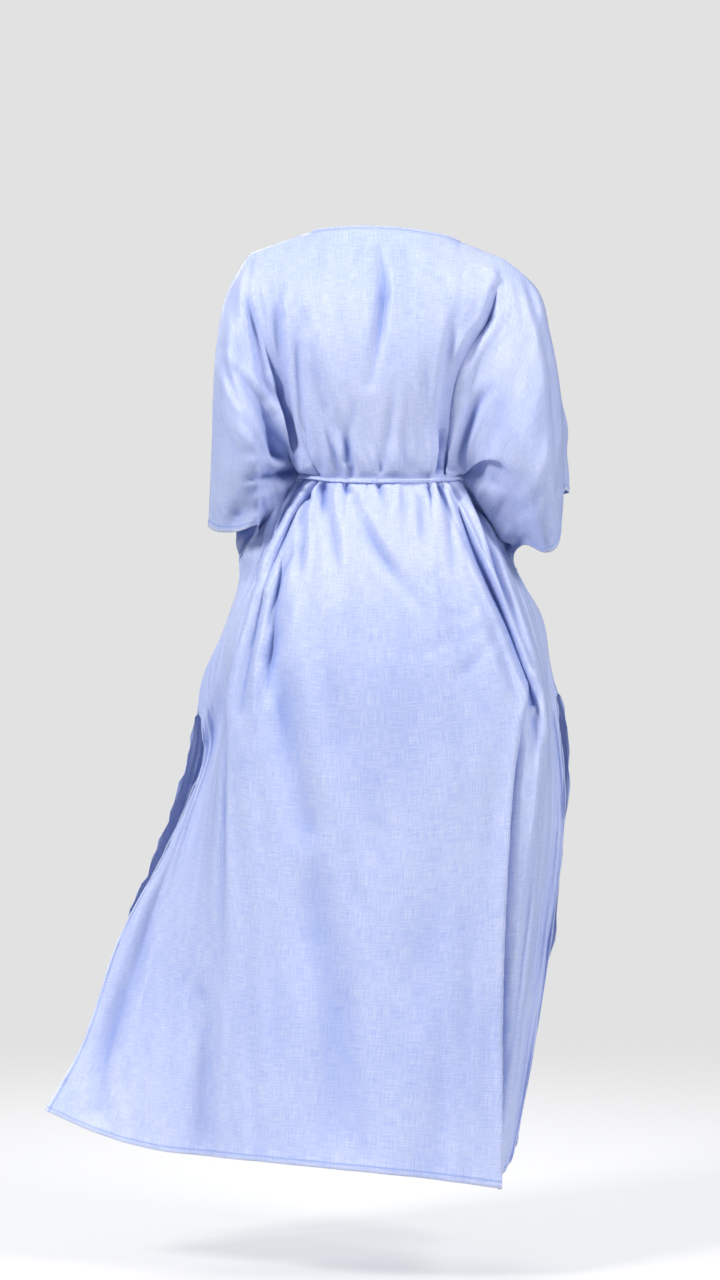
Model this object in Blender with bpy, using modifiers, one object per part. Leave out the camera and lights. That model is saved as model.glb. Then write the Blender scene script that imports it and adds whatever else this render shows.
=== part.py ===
"""A waisted kaftan of chambray, worn and walking: two wide panels, each with its sleeves cut on.

The garment faces -Y, its wearer's left is +X and +Z is up. The origin is in the middle of the neck opening,
at the height of the shoulders, where the wearer holds it up. Tables are in centimetres, all else in metres.
Each panel is an open sheet over a grid of two cloth measures, then a wall: `across` runs from one side edge
to the other, and `drop` runs from the shoulder line down to the hem.
"""

import math

import bmesh
import bpy
import numpy as np

CM = 0.01
WALL = 0.0015
SEAM_GAP = 0.0003

# Cloth measures in centimetres. `across` is 0 at the middle, SIDE where body turns to sleeve or side fall, and
# EDGE at the cuff and the slit. `drop` is 0 at the shoulder line, WAIST at the tie, SLIT where the sewn side ends.
SIDE = 30.0
EDGE = 65.0
WAIST = 38.0
SLIT = 70.0
LENGTH = 137.0

# Half the neck opening's width, and how high and how far out each panel's neck edge is in the middle.
NECK_HALF = 11.0
NECK_RISE = {"back": 0.8, "front": -8.0}
NECK_REACH = {"back": 5.0, "front": -8.5}
CORNER_LEFT = 0.4
CORNER_RIGHT = -0.6

# Where the neck's corners fall across the cloth.
NECK_CORNERS = (-17.95, 15.05)

# Each panel stops this far short of the shoulder line, so that their inner corners stay apart.
SHOULDER_START = 0.13

# The tie, the height of the gathers pressed under it, and its knot's half sizes.
TIE_RADIUS = 0.0025
TIE_STEP = 0.011
PRESSED = 0.0035
KNOT = (0.0075, 0.006, 0.0055)
BINDING_RADIUS = 0.0023
BUTTONHOLE = {"across": (31.2, 35.8), "drop": (36.9, 39.3)}
BUTTONHOLE_MIDDLE = 31.5

# The grid's lines: across the side falls, and down the cloth above and below the buttonholes.
WING_LINES = (38.0, 42.5, 47.0, 51.5, 56.0, 60.5)
LINES_ABOVE = (1.2, 3.4, 6.2, 9.4, 12.8, 16.5, 20.5, 24.5, 28.5, 31.5, 34.0, 35.8)
LINES_BELOW = (40.4, 42.5, 45.5, 49, 53, 57.5, 62.5, 67, 72, 77, 82.5, 88, 94, 100.5, 107, 114, 121.5, 129.5)
LEAST_LINE_GAP = 0.9

CHAMBRAY = (0.40, 0.51, 0.83, 1.0)
CLOTH_ROUGHNESS = 0.75


def table(names, *rows):
    """A short table as one array for each named column."""
    return dict(zip(names.split(), np.array(rows, float).T))


# The middle of each panel, from the neck edge to the hem.
MIDDLE = table(
    "drop back_y back_z front_y front_z",
    (0, 5.0, 0.9, -8.5, -8.0),
    (6, 8.3, -5.1, -10.6, -12.5),
    (14, 10.5, -12.8, -12.0, -17.6),
    (24, 10.8, -21.8, -11.8, -25.0),
    (33, 9.3, -29.8, -10.0, -31.2),
    (38, 8.5, -34.3, -9.0, -34.5),
    (43, 10.6, -38.6, -10.8, -38.8),
    (52, 14.0, -46.8, -12.5, -47.2),
    (64, 16.3, -58.4, -13.5, -58.8),
    (78, 17.0, -72.2, -14.2, -72.5),
    (92, 17.3, -85.2, -15.0, -86.2),
    (108, 18.0, -99.8, -16.0, -101.2),
    (122, 19.0, -113.0, -17.0, -113.8),
    (137, 20.0, -128.0, -18.0, -127.4),
)

# Where body turns to sleeve above the waist, and to the side fall below it. `dip` sets the side fall back.
LEFT_SIDE = table(
    "drop x z back_y front_y back_dip front_dip",
    (0, 18.2, -2.2, 0.0, 0.0, 0.0, 0.0),
    (6, 17.9, -6.9, 5.0, -5.0, 0.0, 0.0),
    (14, 16.8, -14.3, 6.0, -7.0, 0.0, 0.0),
    (24, 14.7, -22.7, 5.0, -6.5, 0.0, 0.0),
    (33, 12.6, -30.0, 3.0, -3.0, 0.0, 0.0),
    (38, 11.4, -33.9, 1.0, 0.82, 0.0, 0.0),
    (43, 12.8, -37.0, 2.5, -3.2, 0.0, 0.0),
    (52, 16.6, -45.4, 5.0, -6.6, -1.0, 0.5),
    (64, 20.1, -55.6, 7.5, -7.5, -2.0, 1.0),
    (78, 22.3, -68.4, 9.5, -9.5, -4.0, 0.0),
    (92, 22.5, -83.2, 10.5, -10.5, -4.0, -1.0),
    (108, 22.8, -98.0, 11.0, -12.0, -2.5, -1.0),
    (122, 23.2, -112.8, 12.0, -13.0, -0.5, -1.0),
    (137, 23.5, -127.2, 12.5, -14.0, 0.0, -1.0),
)
RIGHT_SIDE = table(
    "drop x z back_y front_y back_dip front_dip",
    (0, -17.1, -3.1, 0.0, 0.0, 0.0, 0.0),
    (6, -16.8, -6.6, 5.0, -5.0, 0.0, 0.0),
    (14, -14.8, -13.6, 6.0, -7.0, 0.0, 0.0),
    (24, -12.2, -22.0, 5.0, -6.5, 0.0, 0.0),
    (33, -11.0, -29.6, 3.0, -3.0, 0.0, 0.0),
    (38, -11.2, -33.9, 1.0, 0.82, 0.0, 0.0),
    (43, -12.6, -37.0, 2.5, -3.8, 0.0, 0.0),
    (52, -16.3, -45.4, 5.0, -7.0, -1.0, 0.5),
    (64, -20.2, -55.4, 8.0, -7.5, -2.0, 1.0),
    (78, -22.6, -67.0, 10.0, -9.0, -4.0, 0.0),
    (92, -22.0, -80.4, 11.5, -10.0, -5.0, -1.0),
    (108, -20.2, -98.0, 13.0, -11.0, -5.0, -1.0),
    (122, -18.2, -113.6, 14.5, -12.0, -5.0, -1.0),
    (137, -16.6, -131.2, 16.0, -12.5, -5.0, -1.0),
)

# The panels' outer edges: cuff above the waist, sewn side below it, then the open slit down to the hem.
LEFT_EDGE = table(
    "drop back_x back_y back_z front_x front_y front_z",
    (0, 24.5, -6.0, -40.5, 24.5, -6.0, -40.5),
    (6, 23.2, -2.0, -41.3, 23.8, -9.0, -40.0),
    (14, 20.4, 1.0, -41.4, 22.4, -12.0, -39.5),
    (24, 17.6, 2.5, -40.3, 20.8, -12.0, -40.6),
    (33, 18.6, -1.5, -42.4, 20.8, -9.4, -43.0),
    (38, 20.2, -5.0, -45.0, 20.2, -5.2, -45.0),
    (43, 20.2, -5.2, -48.0, 20.2, -5.4, -48.0),
    (52, 22.2, -4.6, -54.6, 22.2, -4.8, -54.6),
    (64, 25.5, -3.0, -62.8, 25.5, -3.2, -62.8),
    (78, 25.3, -2.0, -73.6, 27.4, -4.6, -73.4),
    (92, 30.4, 0.0, -86.0, 31.6, -2.8, -85.4),
    (108, 37.0, 1.5, -98.8, 36.8, -1.4, -98.2),
    (122, 41.4, 3.0, -111.9, 40.6, -0.8, -111.2),
    (137, 46.8, 5.0, -122.0, 45.4, 0.0, -121.4),
)
RIGHT_EDGE = table(
    "drop back_x back_y back_z front_x front_y front_z",
    (0, -25.8, -3.0, -35.6, -25.8, -3.0, -35.6),
    (6, -25.5, -1.0, -39.0, -26.8, -6.0, -35.6),
    (14, -24.9, 2.0, -43.0, -25.9, -10.0, -35.8),
    (24, -22.8, 3.0, -44.4, -23.8, -13.0, -37.0),
    (33, -20.0, -1.8, -43.2, -21.4, -12.0, -40.8),
    (38, -18.9, -5.6, -44.6, -18.9, -5.8, -44.6),
    (43, -19.7, -7.0, -47.4, -19.7, -7.2, -47.4),
    (52, -22.8, -6.2, -52.9, -22.8, -6.4, -52.9),
    (64, -24.1, -4.4, -60.4, -24.1, -4.6, -60.4),
    (78, -25.6, -2.0, -70.3, -26.6, -4.2, -69.4),
    (92, -25.8, 0.0, -81.8, -26.2, -2.6, -80.6),
    (108, -23.7, 2.0, -99.3, -24.2, -1.4, -98.6),
    (122, -21.4, 3.0, -113.4, -21.7, -1.4, -111.8),
    (137, -18.5, 4.0, -128.0, -19.2, -1.0, -127.0),
)

# The shoulder line along each arm. `out` is how far along it, from the body to the cuff.
LEFT_ARM = table(
    "out x y z",
    (0.0, 18.2, 0.0, -2.2),
    (0.14, 21.1, 0.4, -6.7),
    (0.38, 23.1, 1.0, -15.7),
    (0.68, 23.7, -1.0, -27.4),
    (1.0, 24.5, -6.0, -40.5),
)
RIGHT_ARM = table(
    "out x y z",
    (0.0, -17.1, 0.0, -3.1),
    (0.16, -21.6, 0.3, -7.0),
    (0.40, -23.9, 0.5, -15.0),
    (0.64, -25.2, 0.0, -22.6),
    (1.0, -25.8, -3.0, -35.6),
)

# The line from the buttonhole out to the foot of the cuff, under each arm.
LEFT_UNDERARM = table(
    "out x back_y front_y z",
    (0.0, 11.4, 1.0, 0.82, -33.9),
    (0.45, 15.4, -0.6, -8.5, -38.6),
    (1.0, 20.2, -5.0, -5.2, -45.0),
)
RIGHT_UNDERARM = table(
    "out x back_y front_y z",
    (0.0, -11.2, 1.0, 0.82, -33.9),
    (0.45, -14.8, -1.8, -9.0, -38.0),
    (1.0, -18.9, -5.6, -5.8, -44.6),
)

# The gathers at the tie: where each stands across the cloth, its height and its reach up and down.
BACK_GATHERS = table(
    "across high up down",
    (28.0, 0.7, 12, 22),
    (24.2, 0.6, 16, 16),
    (20.0, 0.8, 22, 14),
    (15.2, 0.5, 14, 12),
    (10.2, 0.6, 18, 16),
    (5.6, 0.4, 9, 8),
    (0.8, 0.6, 14, 10),
    (-4.6, 0.5, 18, 12),
    (-10.0, 0.6, 12, 14),
    (-15.0, 0.5, 16, 10),
    (-19.4, 0.7, 14, 16),
    (-23.6, 0.6, 18, 18),
    (-27.6, 0.7, 14, 22),
)
FRONT_GATHERS = table(
    "across high up down",
    (26.2, 0.35, 14, 20),
    (22.6, 0.6, 18, 14),
    (18.4, 0.5, 12, 18),
    (13.6, 0.7, 20, 12),
    (8.6, 0.5, 14, 16),
    (3.8, 0.6, 10, 20),
    (-1.6, 0.5, 16, 12),
    (-6.6, 0.7, 20, 14),
    (-11.6, 0.5, 12, 18),
    (-16.6, 0.6, 16, 12),
    (-21.4, 0.6, 20, 16),
    (-25.8, 0.35, 12, 22),
)

# The folds: each runs through three points seen from behind, `wide` to each side. A trough is deep, a ridge
# has a negative depth.
BACK_FOLDS = table(
    "x0 z0 x1 z1 x2 z2 wide deep",
    (0.3, -3.6, -0.6, -9.0, 1.1, -19.0, 1.6, 0.8),
    (11.1, -10.2, 9.0, -22.3, 5.0, -32.8, 1.5, 0.7),
    (14.3, -7.6, 13.3, -20.2, 10.2, -31.5, 1.2, 0.7),
    (-9.4, -10.4, -9.8, -20.2, -8.1, -27.6, 1.3, 0.6),
    (20.9, -18.5, 17.4, -23.7, 12.5, -31.8, 1.6, 1.0),
    (20.2, -33.9, 16.0, -32.8, 11.5, -33.2, 1.4, 1.2),
    (21.8, -37.2, 19.9, -38.6, 16.8, -39.2, 1.3, 0.8),
    (-18.2, -22.3, -14.8, -23.0, -12.3, -28.6, 1.5, 0.9),
    (-19.0, -33.3, -15.1, -32.8, -11.8, -34.0, 1.7, 1.8),
    (-11.6, -39.8, -16.5, -52.0, -19.4, -63.6, 1.3, 1.5),
    (-19.4, -63.6, -18.0, -79.0, -16.4, -108.4, 1.5, 1.0),
    (9.0, -35.6, 13.4, -48.2, 16.8, -60.8, 1.8, 1.0),
    (10.9, -35.8, 15.0, -46.5, 18.3, -57.0, 1.2, 0.8),
    (4.2, -37.0, -0.1, -43.7, -6.4, -52.6, 2.0, 0.9),
    (6.2, -37.0, 5.6, -45.4, 6.4, -51.7, 1.7, 0.7),
    (-7.8, -35.0, -9.4, -39.4, -11.0, -44.0, 1.3, 0.5),
    (31.5, -93.0, 37.8, -109.0, 40.5, -121.5, 1.8, 1.2),
    (28.8, -104.2, 26.0, -105.6, 23.2, -106.7, 1.4, 0.9),
    (16.8, -73.4, 16.8, -93.0, 17.8, -115.4, 3.2, 0.9),
    (8.7, -76.0, 7.3, -100.0, 10.0, -123.8, 3.0, -0.7),
    (1.4, -79.0, -1.8, -97.0, -0.4, -121.0, 4.0, 1.2),
    (-10.6, -73.4, -12.3, -93.0, -12.3, -118.0, 3.0, 0.8),
)
FRONT_FOLDS = table(
    "x0 z0 x1 z1 x2 z2 wide deep",
    (3.0, -12.0, 4.0, -20.0, 3.5, -30.0, 1.5, 0.8),
    (-4.0, -12.0, -6.0, -20.0, -5.0, -31.0, 1.4, 0.6),
    (9.0, -8.0, 10.0, -20.0, 8.0, -31.0, 1.3, 0.8),
    (-10.0, -9.0, -10.0, -20.0, -8.5, -30.0, 1.2, 0.7),
    (20.0, -19.0, 17.0, -25.0, 12.6, -31.5, 1.6, 1.3),
    (-21.0, -18.0, -16.0, -25.0, -12.3, -31.5, 1.6, 1.3),
    (5.0, -37.0, 3.0, -46.0, 6.0, -56.0, 2.0, 0.9),
    (-3.0, -37.0, -2.0, -48.0, -6.0, -60.0, 1.8, 0.8),
    (12.0, -70.0, 14.0, -95.0, 13.0, -120.0, 3.0, 1.1),
    (3.0, -72.0, 1.0, -95.0, 3.0, -120.0, 3.6, 1.2),
    (-9.0, -72.0, -11.0, -95.0, -10.0, -120.0, 3.0, 1.1),
    (31.0, -92.0, 37.0, -106.0, 40.0, -118.0, 1.6, 1.0),
)

# How far the sleeve stands out behind and before the arm, and away from the body, in centimetres.
SLEEVE_BULGE = {"back": 4.0, "front": -4.0}
SLEEVE_SPREAD = {"back": 0.2, "front": 1.6}

# The two panels' middles stand this far apart where their sides are sewn.
SEWN_APART = 0.26
DIP_LEAN = 0.7

# How far each side fall hangs below a straight line at the hem.
HEM_SAG = 1.4

# How far down the neck's hollow is felt.
HANG = 14.0

# How far round each side the body's sections reach, above the hips and below them, and the drops between.
ARC_ABOVE = math.radians(62)
ARC_BELOW = math.radians(76)
ARC_TURNS = (50, 80)

# Where the sections are worked out: points across the body, and shares of the way out to the edge.
BODY_STATIONS = 13
STATIONS = (0.0, 0.18, 0.36, 0.54, 0.72, 0.86)


def smooth(knots, values, at):
    """Cubic curve through the knots, its slope at each one taken from its two neighbours."""
    slope = np.gradient(values, knots, axis=0)
    index = np.clip(np.searchsorted(knots, at, side="right") - 1, 0, len(knots) - 2)
    span = (knots[index + 1] - knots[index])
    t = (at - knots[index]) / span
    shape = t.shape + (1,) * (values.ndim - 1)
    t = t.reshape(shape)
    span = span.reshape(shape)
    rise = values[index + 1] - values[index]
    start = slope[index] * span
    end = slope[index + 1] * span
    return values[index] + t * start + t**2 * (3 * rise - 2 * start - end) + t**3 * (start + end - 2 * rise)


def over_shoulder(rows, face, names, drop):
    """Columns of a table at these drops, carried smoothly over the shoulder onto the other panel."""
    other = {"back": "front", "front": "back"}[face]
    near = np.stack([rows[name.format(face)] for name in names], axis=1)
    far = np.stack([rows[name.format(other)] for name in names], axis=1)
    knots = np.concatenate([[-rows["drop"][1]], rows["drop"]])
    return smooth(knots, np.concatenate([far[1:2], near]), drop)


def ease(value, start, end):
    """0 at start and 1 at end, level at both."""
    t = np.clip((value - start) / (end - start), 0, 1)
    return t * t * (3 - 2 * t)


def body_rows(face, across, drop):
    """Points of the body between its two side lines: half an ellipse for each drop."""
    left = over_shoulder(LEFT_SIDE, face, ("x", "{}_y", "z"), drop)
    right = over_shoulder(RIGHT_SIDE, face, ("x", "{}_y", "z"), drop)
    middle = smooth(MIDDLE["drop"], np.stack([MIDDLE[face + "_y"], MIDDLE[face + "_z"]], axis=1), drop)
    turn = ARC_ABOVE + (ARC_BELOW - ARC_ABOVE) * ease(drop, *ARC_TURNS)[:, None]
    angle = across[None, :] / SIDE * turn
    swing = np.sin(angle) / np.sin(turn)
    depth = (np.cos(angle) - np.cos(turn)) / (1 - np.cos(turn))
    lean = (1 + swing) / 2
    x = left[:, :1] * lean + right[:, :1] * (1 - lean)
    y_side = left[:, 1:2] * lean + right[:, 1:2] * (1 - lean)
    z_side = left[:, 2:] * lean + right[:, 2:] * (1 - lean)
    y = y_side + (middle[:, :1] - y_side) * depth
    z = z_side + (middle[:, 1:] - (left[:, 2:] + right[:, 2:]) / 2) * depth
    return np.stack([x, y, z], axis=2)


def neck_line(face, x):
    """The top edge of a panel's middle: level shoulders, and between them the neck's hollow."""
    inside = np.clip(1 - (x / NECK_HALF) ** 2, 0, 1)
    ends = (RIGHT_SIDE["x"][0], -NECK_HALF, NECK_HALF, LEFT_SIDE["x"][0])
    shoulder = np.interp(x, ends, (RIGHT_SIDE["z"][0], CORNER_RIGHT, CORNER_LEFT, LEFT_SIDE["z"][0]))
    return np.stack([NECK_REACH[face] * inside**0.75, shoulder + NECK_RISE[face] * inside**0.8], axis=1)


def hung(face, points, drop):
    """The body with its first row moved to the neck line, and the rows under it moved less and less."""
    hang = np.clip(1 - drop / HANG, 0, 1)[:, None, None] ** 2
    points[:, :, 1:] += hang * (neck_line(face, points[0, :, 0]) - points[0, :, 1:])
    return points


def wing_rows(face, left, out, drop):
    """Points from a side line out to the panel's edge: the sleeve above the waist, the side fall below it."""
    side = LEFT_SIDE if left else RIGHT_SIDE
    edge = LEFT_EDGE if left else RIGHT_EDGE
    arm = LEFT_ARM if left else RIGHT_ARM
    underarm = LEFT_UNDERARM if left else RIGHT_UNDERARM
    inner = over_shoulder(side, face, ("x", "{}_y", "z"), drop)[:, None, :]
    outer = over_shoulder(edge, face, ("{}_x", "{}_y", "{}_z"), drop)[:, None, :]
    if face == "front":
        behind = over_shoulder(edge, "back", ("{}_y",), drop)
        sewn = (drop >= WAIST)[:, None]
        outer[:, :, 1] = np.where(sewn, np.minimum(outer[:, :, 1], behind - SEWN_APART), outer[:, :, 1])
    dip = smooth(side["drop"], side[face + "_dip"], drop)[:, None]
    share = out[None, :, None]
    points = inner * (1 - share) + outer * share
    ends = np.array([0.0, 1.0])
    arm_line = np.stack([arm["x"], arm["y"], arm["z"]], axis=1)
    under_line = np.stack([underarm["x"], underarm[face + "_y"], underarm["z"]], axis=1)
    sag_arm = smooth(arm["out"], arm_line, out) - smooth(ends, arm_line[[0, -1]], out)
    sag_under = smooth(underarm["out"], under_line, out) - smooth(ends, under_line[[0, -1]], out)
    lift_arm = np.clip(1 - drop / WAIST, 0, 1)[:, None, None]
    lift_under = np.where(drop < WAIST, drop / WAIST, 1 - ease(drop, WAIST, 64))[:, None, None]
    points = points + sag_arm * lift_arm + sag_under * lift_under
    swell = np.sin(math.pi * np.clip(drop / WAIST, 0, 1))[:, None] * np.sin(math.pi * out)
    points[:, :, 0] += SLEEVE_SPREAD[face] * swell * (1 if left else -1)
    points[:, :, 1] += SLEEVE_BULGE[face] * swell
    points[:, :, 1] += dip * np.sin(math.pi * out**DIP_LEAN)[None, :]
    points[:, :, 2] -= HEM_SAG * ease(drop, 100, LENGTH)[:, None] * np.sin(math.pi * out)
    return points


def sheet(face, across, drop):
    """The panel's smooth form at every pair of cloth measures, in centimetres."""
    drop = np.concatenate([[0.0], drop])
    stations = np.array(STATIONS + (1.0,))
    body_stations = np.linspace(-SIDE, SIDE, BODY_STATIONS)
    out_at = SIDE + stations[1:] * (EDGE - SIDE)
    left = wing_rows(face, True, stations[1:], drop)
    right = wing_rows(face, False, stations[1:], drop)[:, ::-1]
    body = body_rows(face, body_stations, drop)
    knots = np.concatenate([-out_at[::-1], body_stations, out_at])
    rows = np.concatenate([right, hung(face, body, drop), left], axis=1)
    points = smooth(knots, rows.transpose(1, 0, 2), across).transpose(1, 0, 2)
    in_body = np.abs(across) <= SIDE
    points[:, in_body] = hung(face, points[:, in_body], drop)
    return points[1:]


def normals(points, face):
    """Unit directions out of the garment, from each point's neighbours."""
    along = np.gradient(points, axis=1)
    down = np.gradient(points, axis=0)
    out = np.cross(along, down)
    out /= np.linalg.norm(out, axis=2, keepdims=True) + 1e-12
    return out if face == "back" else -out


def gathered(face, across, drop):
    """Height of the gathers over the smooth form, pressed flat under the tie."""
    rows = BACK_GATHERS if face == "back" else FRONT_GATHERS
    at = rows["across"]
    width = np.abs(np.gradient(at)) / 2
    below = (drop - WAIST)[:, None]
    height = np.zeros((len(drop), len(across)))
    for place, half, high, up, down in zip(at, width, rows["high"], rows["up"], rows["down"]):
        bell = np.clip(1 - ((across - place) / half) ** 2, 0, 1) ** 1.5
        reach = np.where(below < 0, up, down)
        fade = (1 - ease(np.abs(below), 2.0, reach)) * (0.15 + 0.85 * ease(np.abs(below), 1.3, 4.0))
        height += high * bell[None, :] * fade
    return height


def folded(face, points):
    """Height of the folds over the smooth form: each a soft trough with a low ridge along both its sides."""
    rows = BACK_FOLDS if face == "back" else FRONT_FOLDS
    seen = points[:, :, [0, 2]]
    height = np.zeros(points.shape[:2])
    steps = np.linspace(0, 1, 15)
    for x0, z0, x1, z1, x2, z2, wide, deep in np.stack(list(rows.values()), axis=1):
        knots = np.array([[x0, z0], [x1, z1], [x2, z2]])
        route = smooth(np.array([0.0, 0.5, 1.0]), knots, steps)
        gaps = np.linalg.norm(seen[:, :, None, :] - route, axis=3)
        nearest = gaps.argmin(axis=2)
        share = gaps.min(axis=2) / wide
        along = steps[nearest]
        strength = np.clip(np.sin(math.pi * (0.06 + 0.88 * along)), 0, 1) ** 0.6
        height += deep * strength * (0.3 * np.exp(-(((share - 1.7) / 0.7) ** 2)) - np.exp(-(share**2)))
    return height


def held(across, drop):
    """1 where the cloth is free to fold, 0 at the shoulder line, the sewn sides and the buttonholes."""
    far = np.abs(across)[None, :]
    low = drop[:, None]
    shoulder = ease(low, 0.5, 4.0)
    sewn = ease(low, 26, 32) * (1 - ease(low, SLIT, SLIT + 8)) * ease(far, 54, 63)
    near_hole = 1 - ease(np.hypot((far - BUTTONHOLE_MIDDLE) / 7, (low - WAIST) / 5), 0.35, 1.2)
    return shoulder * (1 - sewn) * (1 - near_hole)


def panel_lines(face):
    """The cloth measures at which a panel's grid has its lines, the gathers' crests and troughs among them."""
    crests = np.sort((BACK_GATHERS if face == "back" else FRONT_GATHERS)["across"])
    troughs = (crests[1:] + crests[:-1]) / 2
    wing = np.array([SIDE, *BUTTONHOLE["across"], *WING_LINES, EDGE])
    pleats = np.concatenate([crests, troughs])
    for corner in NECK_CORNERS:
        pleats = pleats[np.abs(pleats - corner) > LEAST_LINE_GAP]
    across = np.concatenate([-wing[::-1], pleats, NECK_CORNERS, wing])
    drop = np.array([SHOULDER_START, *LINES_ABOVE, *BUTTONHOLE["drop"], *LINES_BELOW, LENGTH])
    return np.sort(across), drop


def panel_points(face, across, drop):
    points = sheet(face, across, drop)
    height = gathered(face, across, drop) + folded(face, points) * held(across, drop)
    return (points + normals(points, face) * height[:, :, None]) * CM


def cloth_material(name):
    material = bpy.data.materials.new(name)
    material.use_nodes = True
    shader = material.node_tree.nodes["Principled BSDF"]
    shader.inputs["Base Color"].default_value = CHAMBRAY
    shader.inputs["Roughness"].default_value = CLOTH_ROUGHNESS
    shader.inputs["Metallic"].default_value = 0.0
    return material


def add_panel(collection, face):
    """One panel: an open grid with its two buttonholes left out, given its wall by Solidify."""
    across, drop = panel_lines(face)
    points = panel_points(face, across, drop)
    rows, columns = points.shape[:2]
    index = np.arange(rows * columns).reshape(rows, columns)
    quads = np.stack([index[:-1, :-1], index[1:, :-1], index[1:, 1:], index[:-1, 1:]], axis=2)
    hole_row = int(np.searchsorted(drop, BUTTONHOLE["drop"][0] - 0.01))
    for side in (-1, 1):
        middle = side * (BUTTONHOLE["across"][0] + BUTTONHOLE["across"][1]) / 2
        hole_column = int(np.searchsorted(across, middle)) - 1
        quads[hole_row, hole_column] = -1
    quads = quads.reshape(-1, 4)
    quads = quads[quads[:, 0] >= 0]
    if face == "front":
        quads = quads[:, ::-1]
    mesh = bpy.data.meshes.new(face + "_panel")
    mesh.from_pydata(points.reshape(-1, 3).tolist(), [], quads.tolist())
    mesh.shade_smooth()
    panel = bpy.data.objects.new(face + "_panel", mesh)
    wall = panel.modifiers.new("wall", "SOLIDIFY")
    wall.thickness = WALL
    wall.offset = 0.0
    mesh.materials.append(cloth_material(face + "_cloth"))
    collection.objects.link(panel)
    return panel


def add_tube(collection, name, points, radius, closed):
    curve = bpy.data.curves.new(name, "CURVE")
    curve.dimensions = "3D"
    curve.bevel_depth = radius
    curve.bevel_resolution = 2
    curve.use_fill_caps = not closed
    spline = curve.splines.new("POLY")
    spline.points.add(len(points) - 1)
    spline.points.foreach_set("co", np.column_stack([points, np.ones(len(points))]).ravel())
    spline.use_cyclic_u = closed
    curve.materials.append(cloth_material(name + "_cloth"))
    tube = bpy.data.objects.new(name, curve)
    collection.objects.link(tube)
    return tube


def neck_route():
    """The neck edge all round, moved square off each panel's own edge by the binding's half height."""
    halves = []
    for face in ("back", "front"):
        across, drop = panel_lines(face)
        in_neck = (across >= NECK_CORNERS[0]) & (across <= NECK_CORNERS[1])
        edge, below = panel_points(face, across, drop)[:2, in_neck]
        along = np.gradient(edge, axis=0)
        along /= np.linalg.norm(along, axis=1, keepdims=True)
        upward = edge - below
        upward -= (upward * along).sum(axis=1, keepdims=True) * along
        halves.append(edge + (BINDING_RADIUS + SEAM_GAP) * upward / np.linalg.norm(upward, axis=1, keepdims=True))
    back, front = halves
    corners = (back[[0, -1]] + front[[0, -1]]) / 2
    return np.concatenate([back[1:-1], corners[1:], front[-2:0:-1], corners[:1]])


def hole_middle(face, side):
    across, drop = BUTTONHOLE["across"], BUTTONHOLE["drop"]
    corners = panel_points(face, np.sort(side * np.array(across)), np.linspace(*drop, 3))
    return corners.mean(axis=(0, 1))


def tie_route():
    """The tie from one side of its knot all round to the other, on the gathers and through the buttonholes."""
    off = PRESSED + WALL / 2 + TIE_RADIUS + SEAM_GAP
    arcs = {}
    for face, turn in (("back", 1), ("front", -1)):
        across = np.linspace(-26, 26, 27)
        row = sheet(face, across, np.array(BUTTONHOLE["drop"])).mean(axis=0) * CM
        along = np.gradient(row, axis=0)
        outward = np.stack([-along[:, 1], along[:, 0], np.zeros(len(row))], axis=1) * turn
        arcs[face] = row + off * outward / np.linalg.norm(outward, axis=1, keepdims=True)
    knot_side = KNOT[0] + SEAM_GAP
    right_front = arcs["front"][arcs["front"][:, 0] < -2 * knot_side]
    left_front = arcs["front"][arcs["front"][:, 0] > 2 * knot_side]
    middle = arcs["front"][len(arcs["front"]) // 2]
    route = np.concatenate([
        [[-knot_side, middle[1], middle[2]]],
        right_front[::-1],
        [hole_middle("front", -1), hole_middle("back", -1)],
        arcs["back"],
        [hole_middle("back", 1), hole_middle("front", 1)],
        left_front[::-1],
        [[knot_side, middle[1], middle[2]]],
    ])
    length = np.concatenate([[0], np.cumsum(np.linalg.norm(np.diff(route, axis=0), axis=1))])
    count = int(round(length[-1] / TIE_STEP))
    return smooth(length, route, np.linspace(0, length[-1], count + 1)), middle


def add_knot(collection, middle):
    """The plain knot that closes the tie, a rounded lump resting on the front's gathers."""
    mesh = bpy.data.meshes.new("tie_knot")
    shape = bmesh.new()
    bmesh.ops.create_uvsphere(shape, u_segments=16, v_segments=10, radius=1.0)
    bmesh.ops.scale(shape, vec=KNOT, verts=shape.verts)
    shape.to_mesh(mesh)
    shape.free()
    mesh.shade_smooth()
    mesh.materials.append(cloth_material("tie_knot_cloth"))
    knot = bpy.data.objects.new("tie_knot", mesh)
    knot.location = (0.0, middle[1] + TIE_RADIUS - KNOT[1], middle[2])
    collection.objects.link(knot)


def main():
    for obj in list(bpy.data.objects):
        bpy.data.objects.remove(obj)
    garment = bpy.data.collections.new("kaftan")
    bpy.context.scene.collection.children.link(garment)
    add_panel(garment, "back")
    add_panel(garment, "front")
    add_tube(garment, "neck_binding", neck_route(), BINDING_RADIUS, True)
    route, middle = tie_route()
    add_tube(garment, "waist_tie", route, TIE_RADIUS, False)
    add_knot(garment, middle)


main()
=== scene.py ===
"""Dresses the waisted chambray kaftan: fine creased cloth over its solids, hems, stitching, tie and a studio.

The garment faces -Y, its left, as worn, is +X and +Z is up. The cloth's own measures and the tables of its form are
in centimetres, the creases seen from behind are placed in pixels of the 720 x 1280 picture, and the properties, the
paths of the trims and the scene are in metres.
"""

import functools
import math

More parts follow.
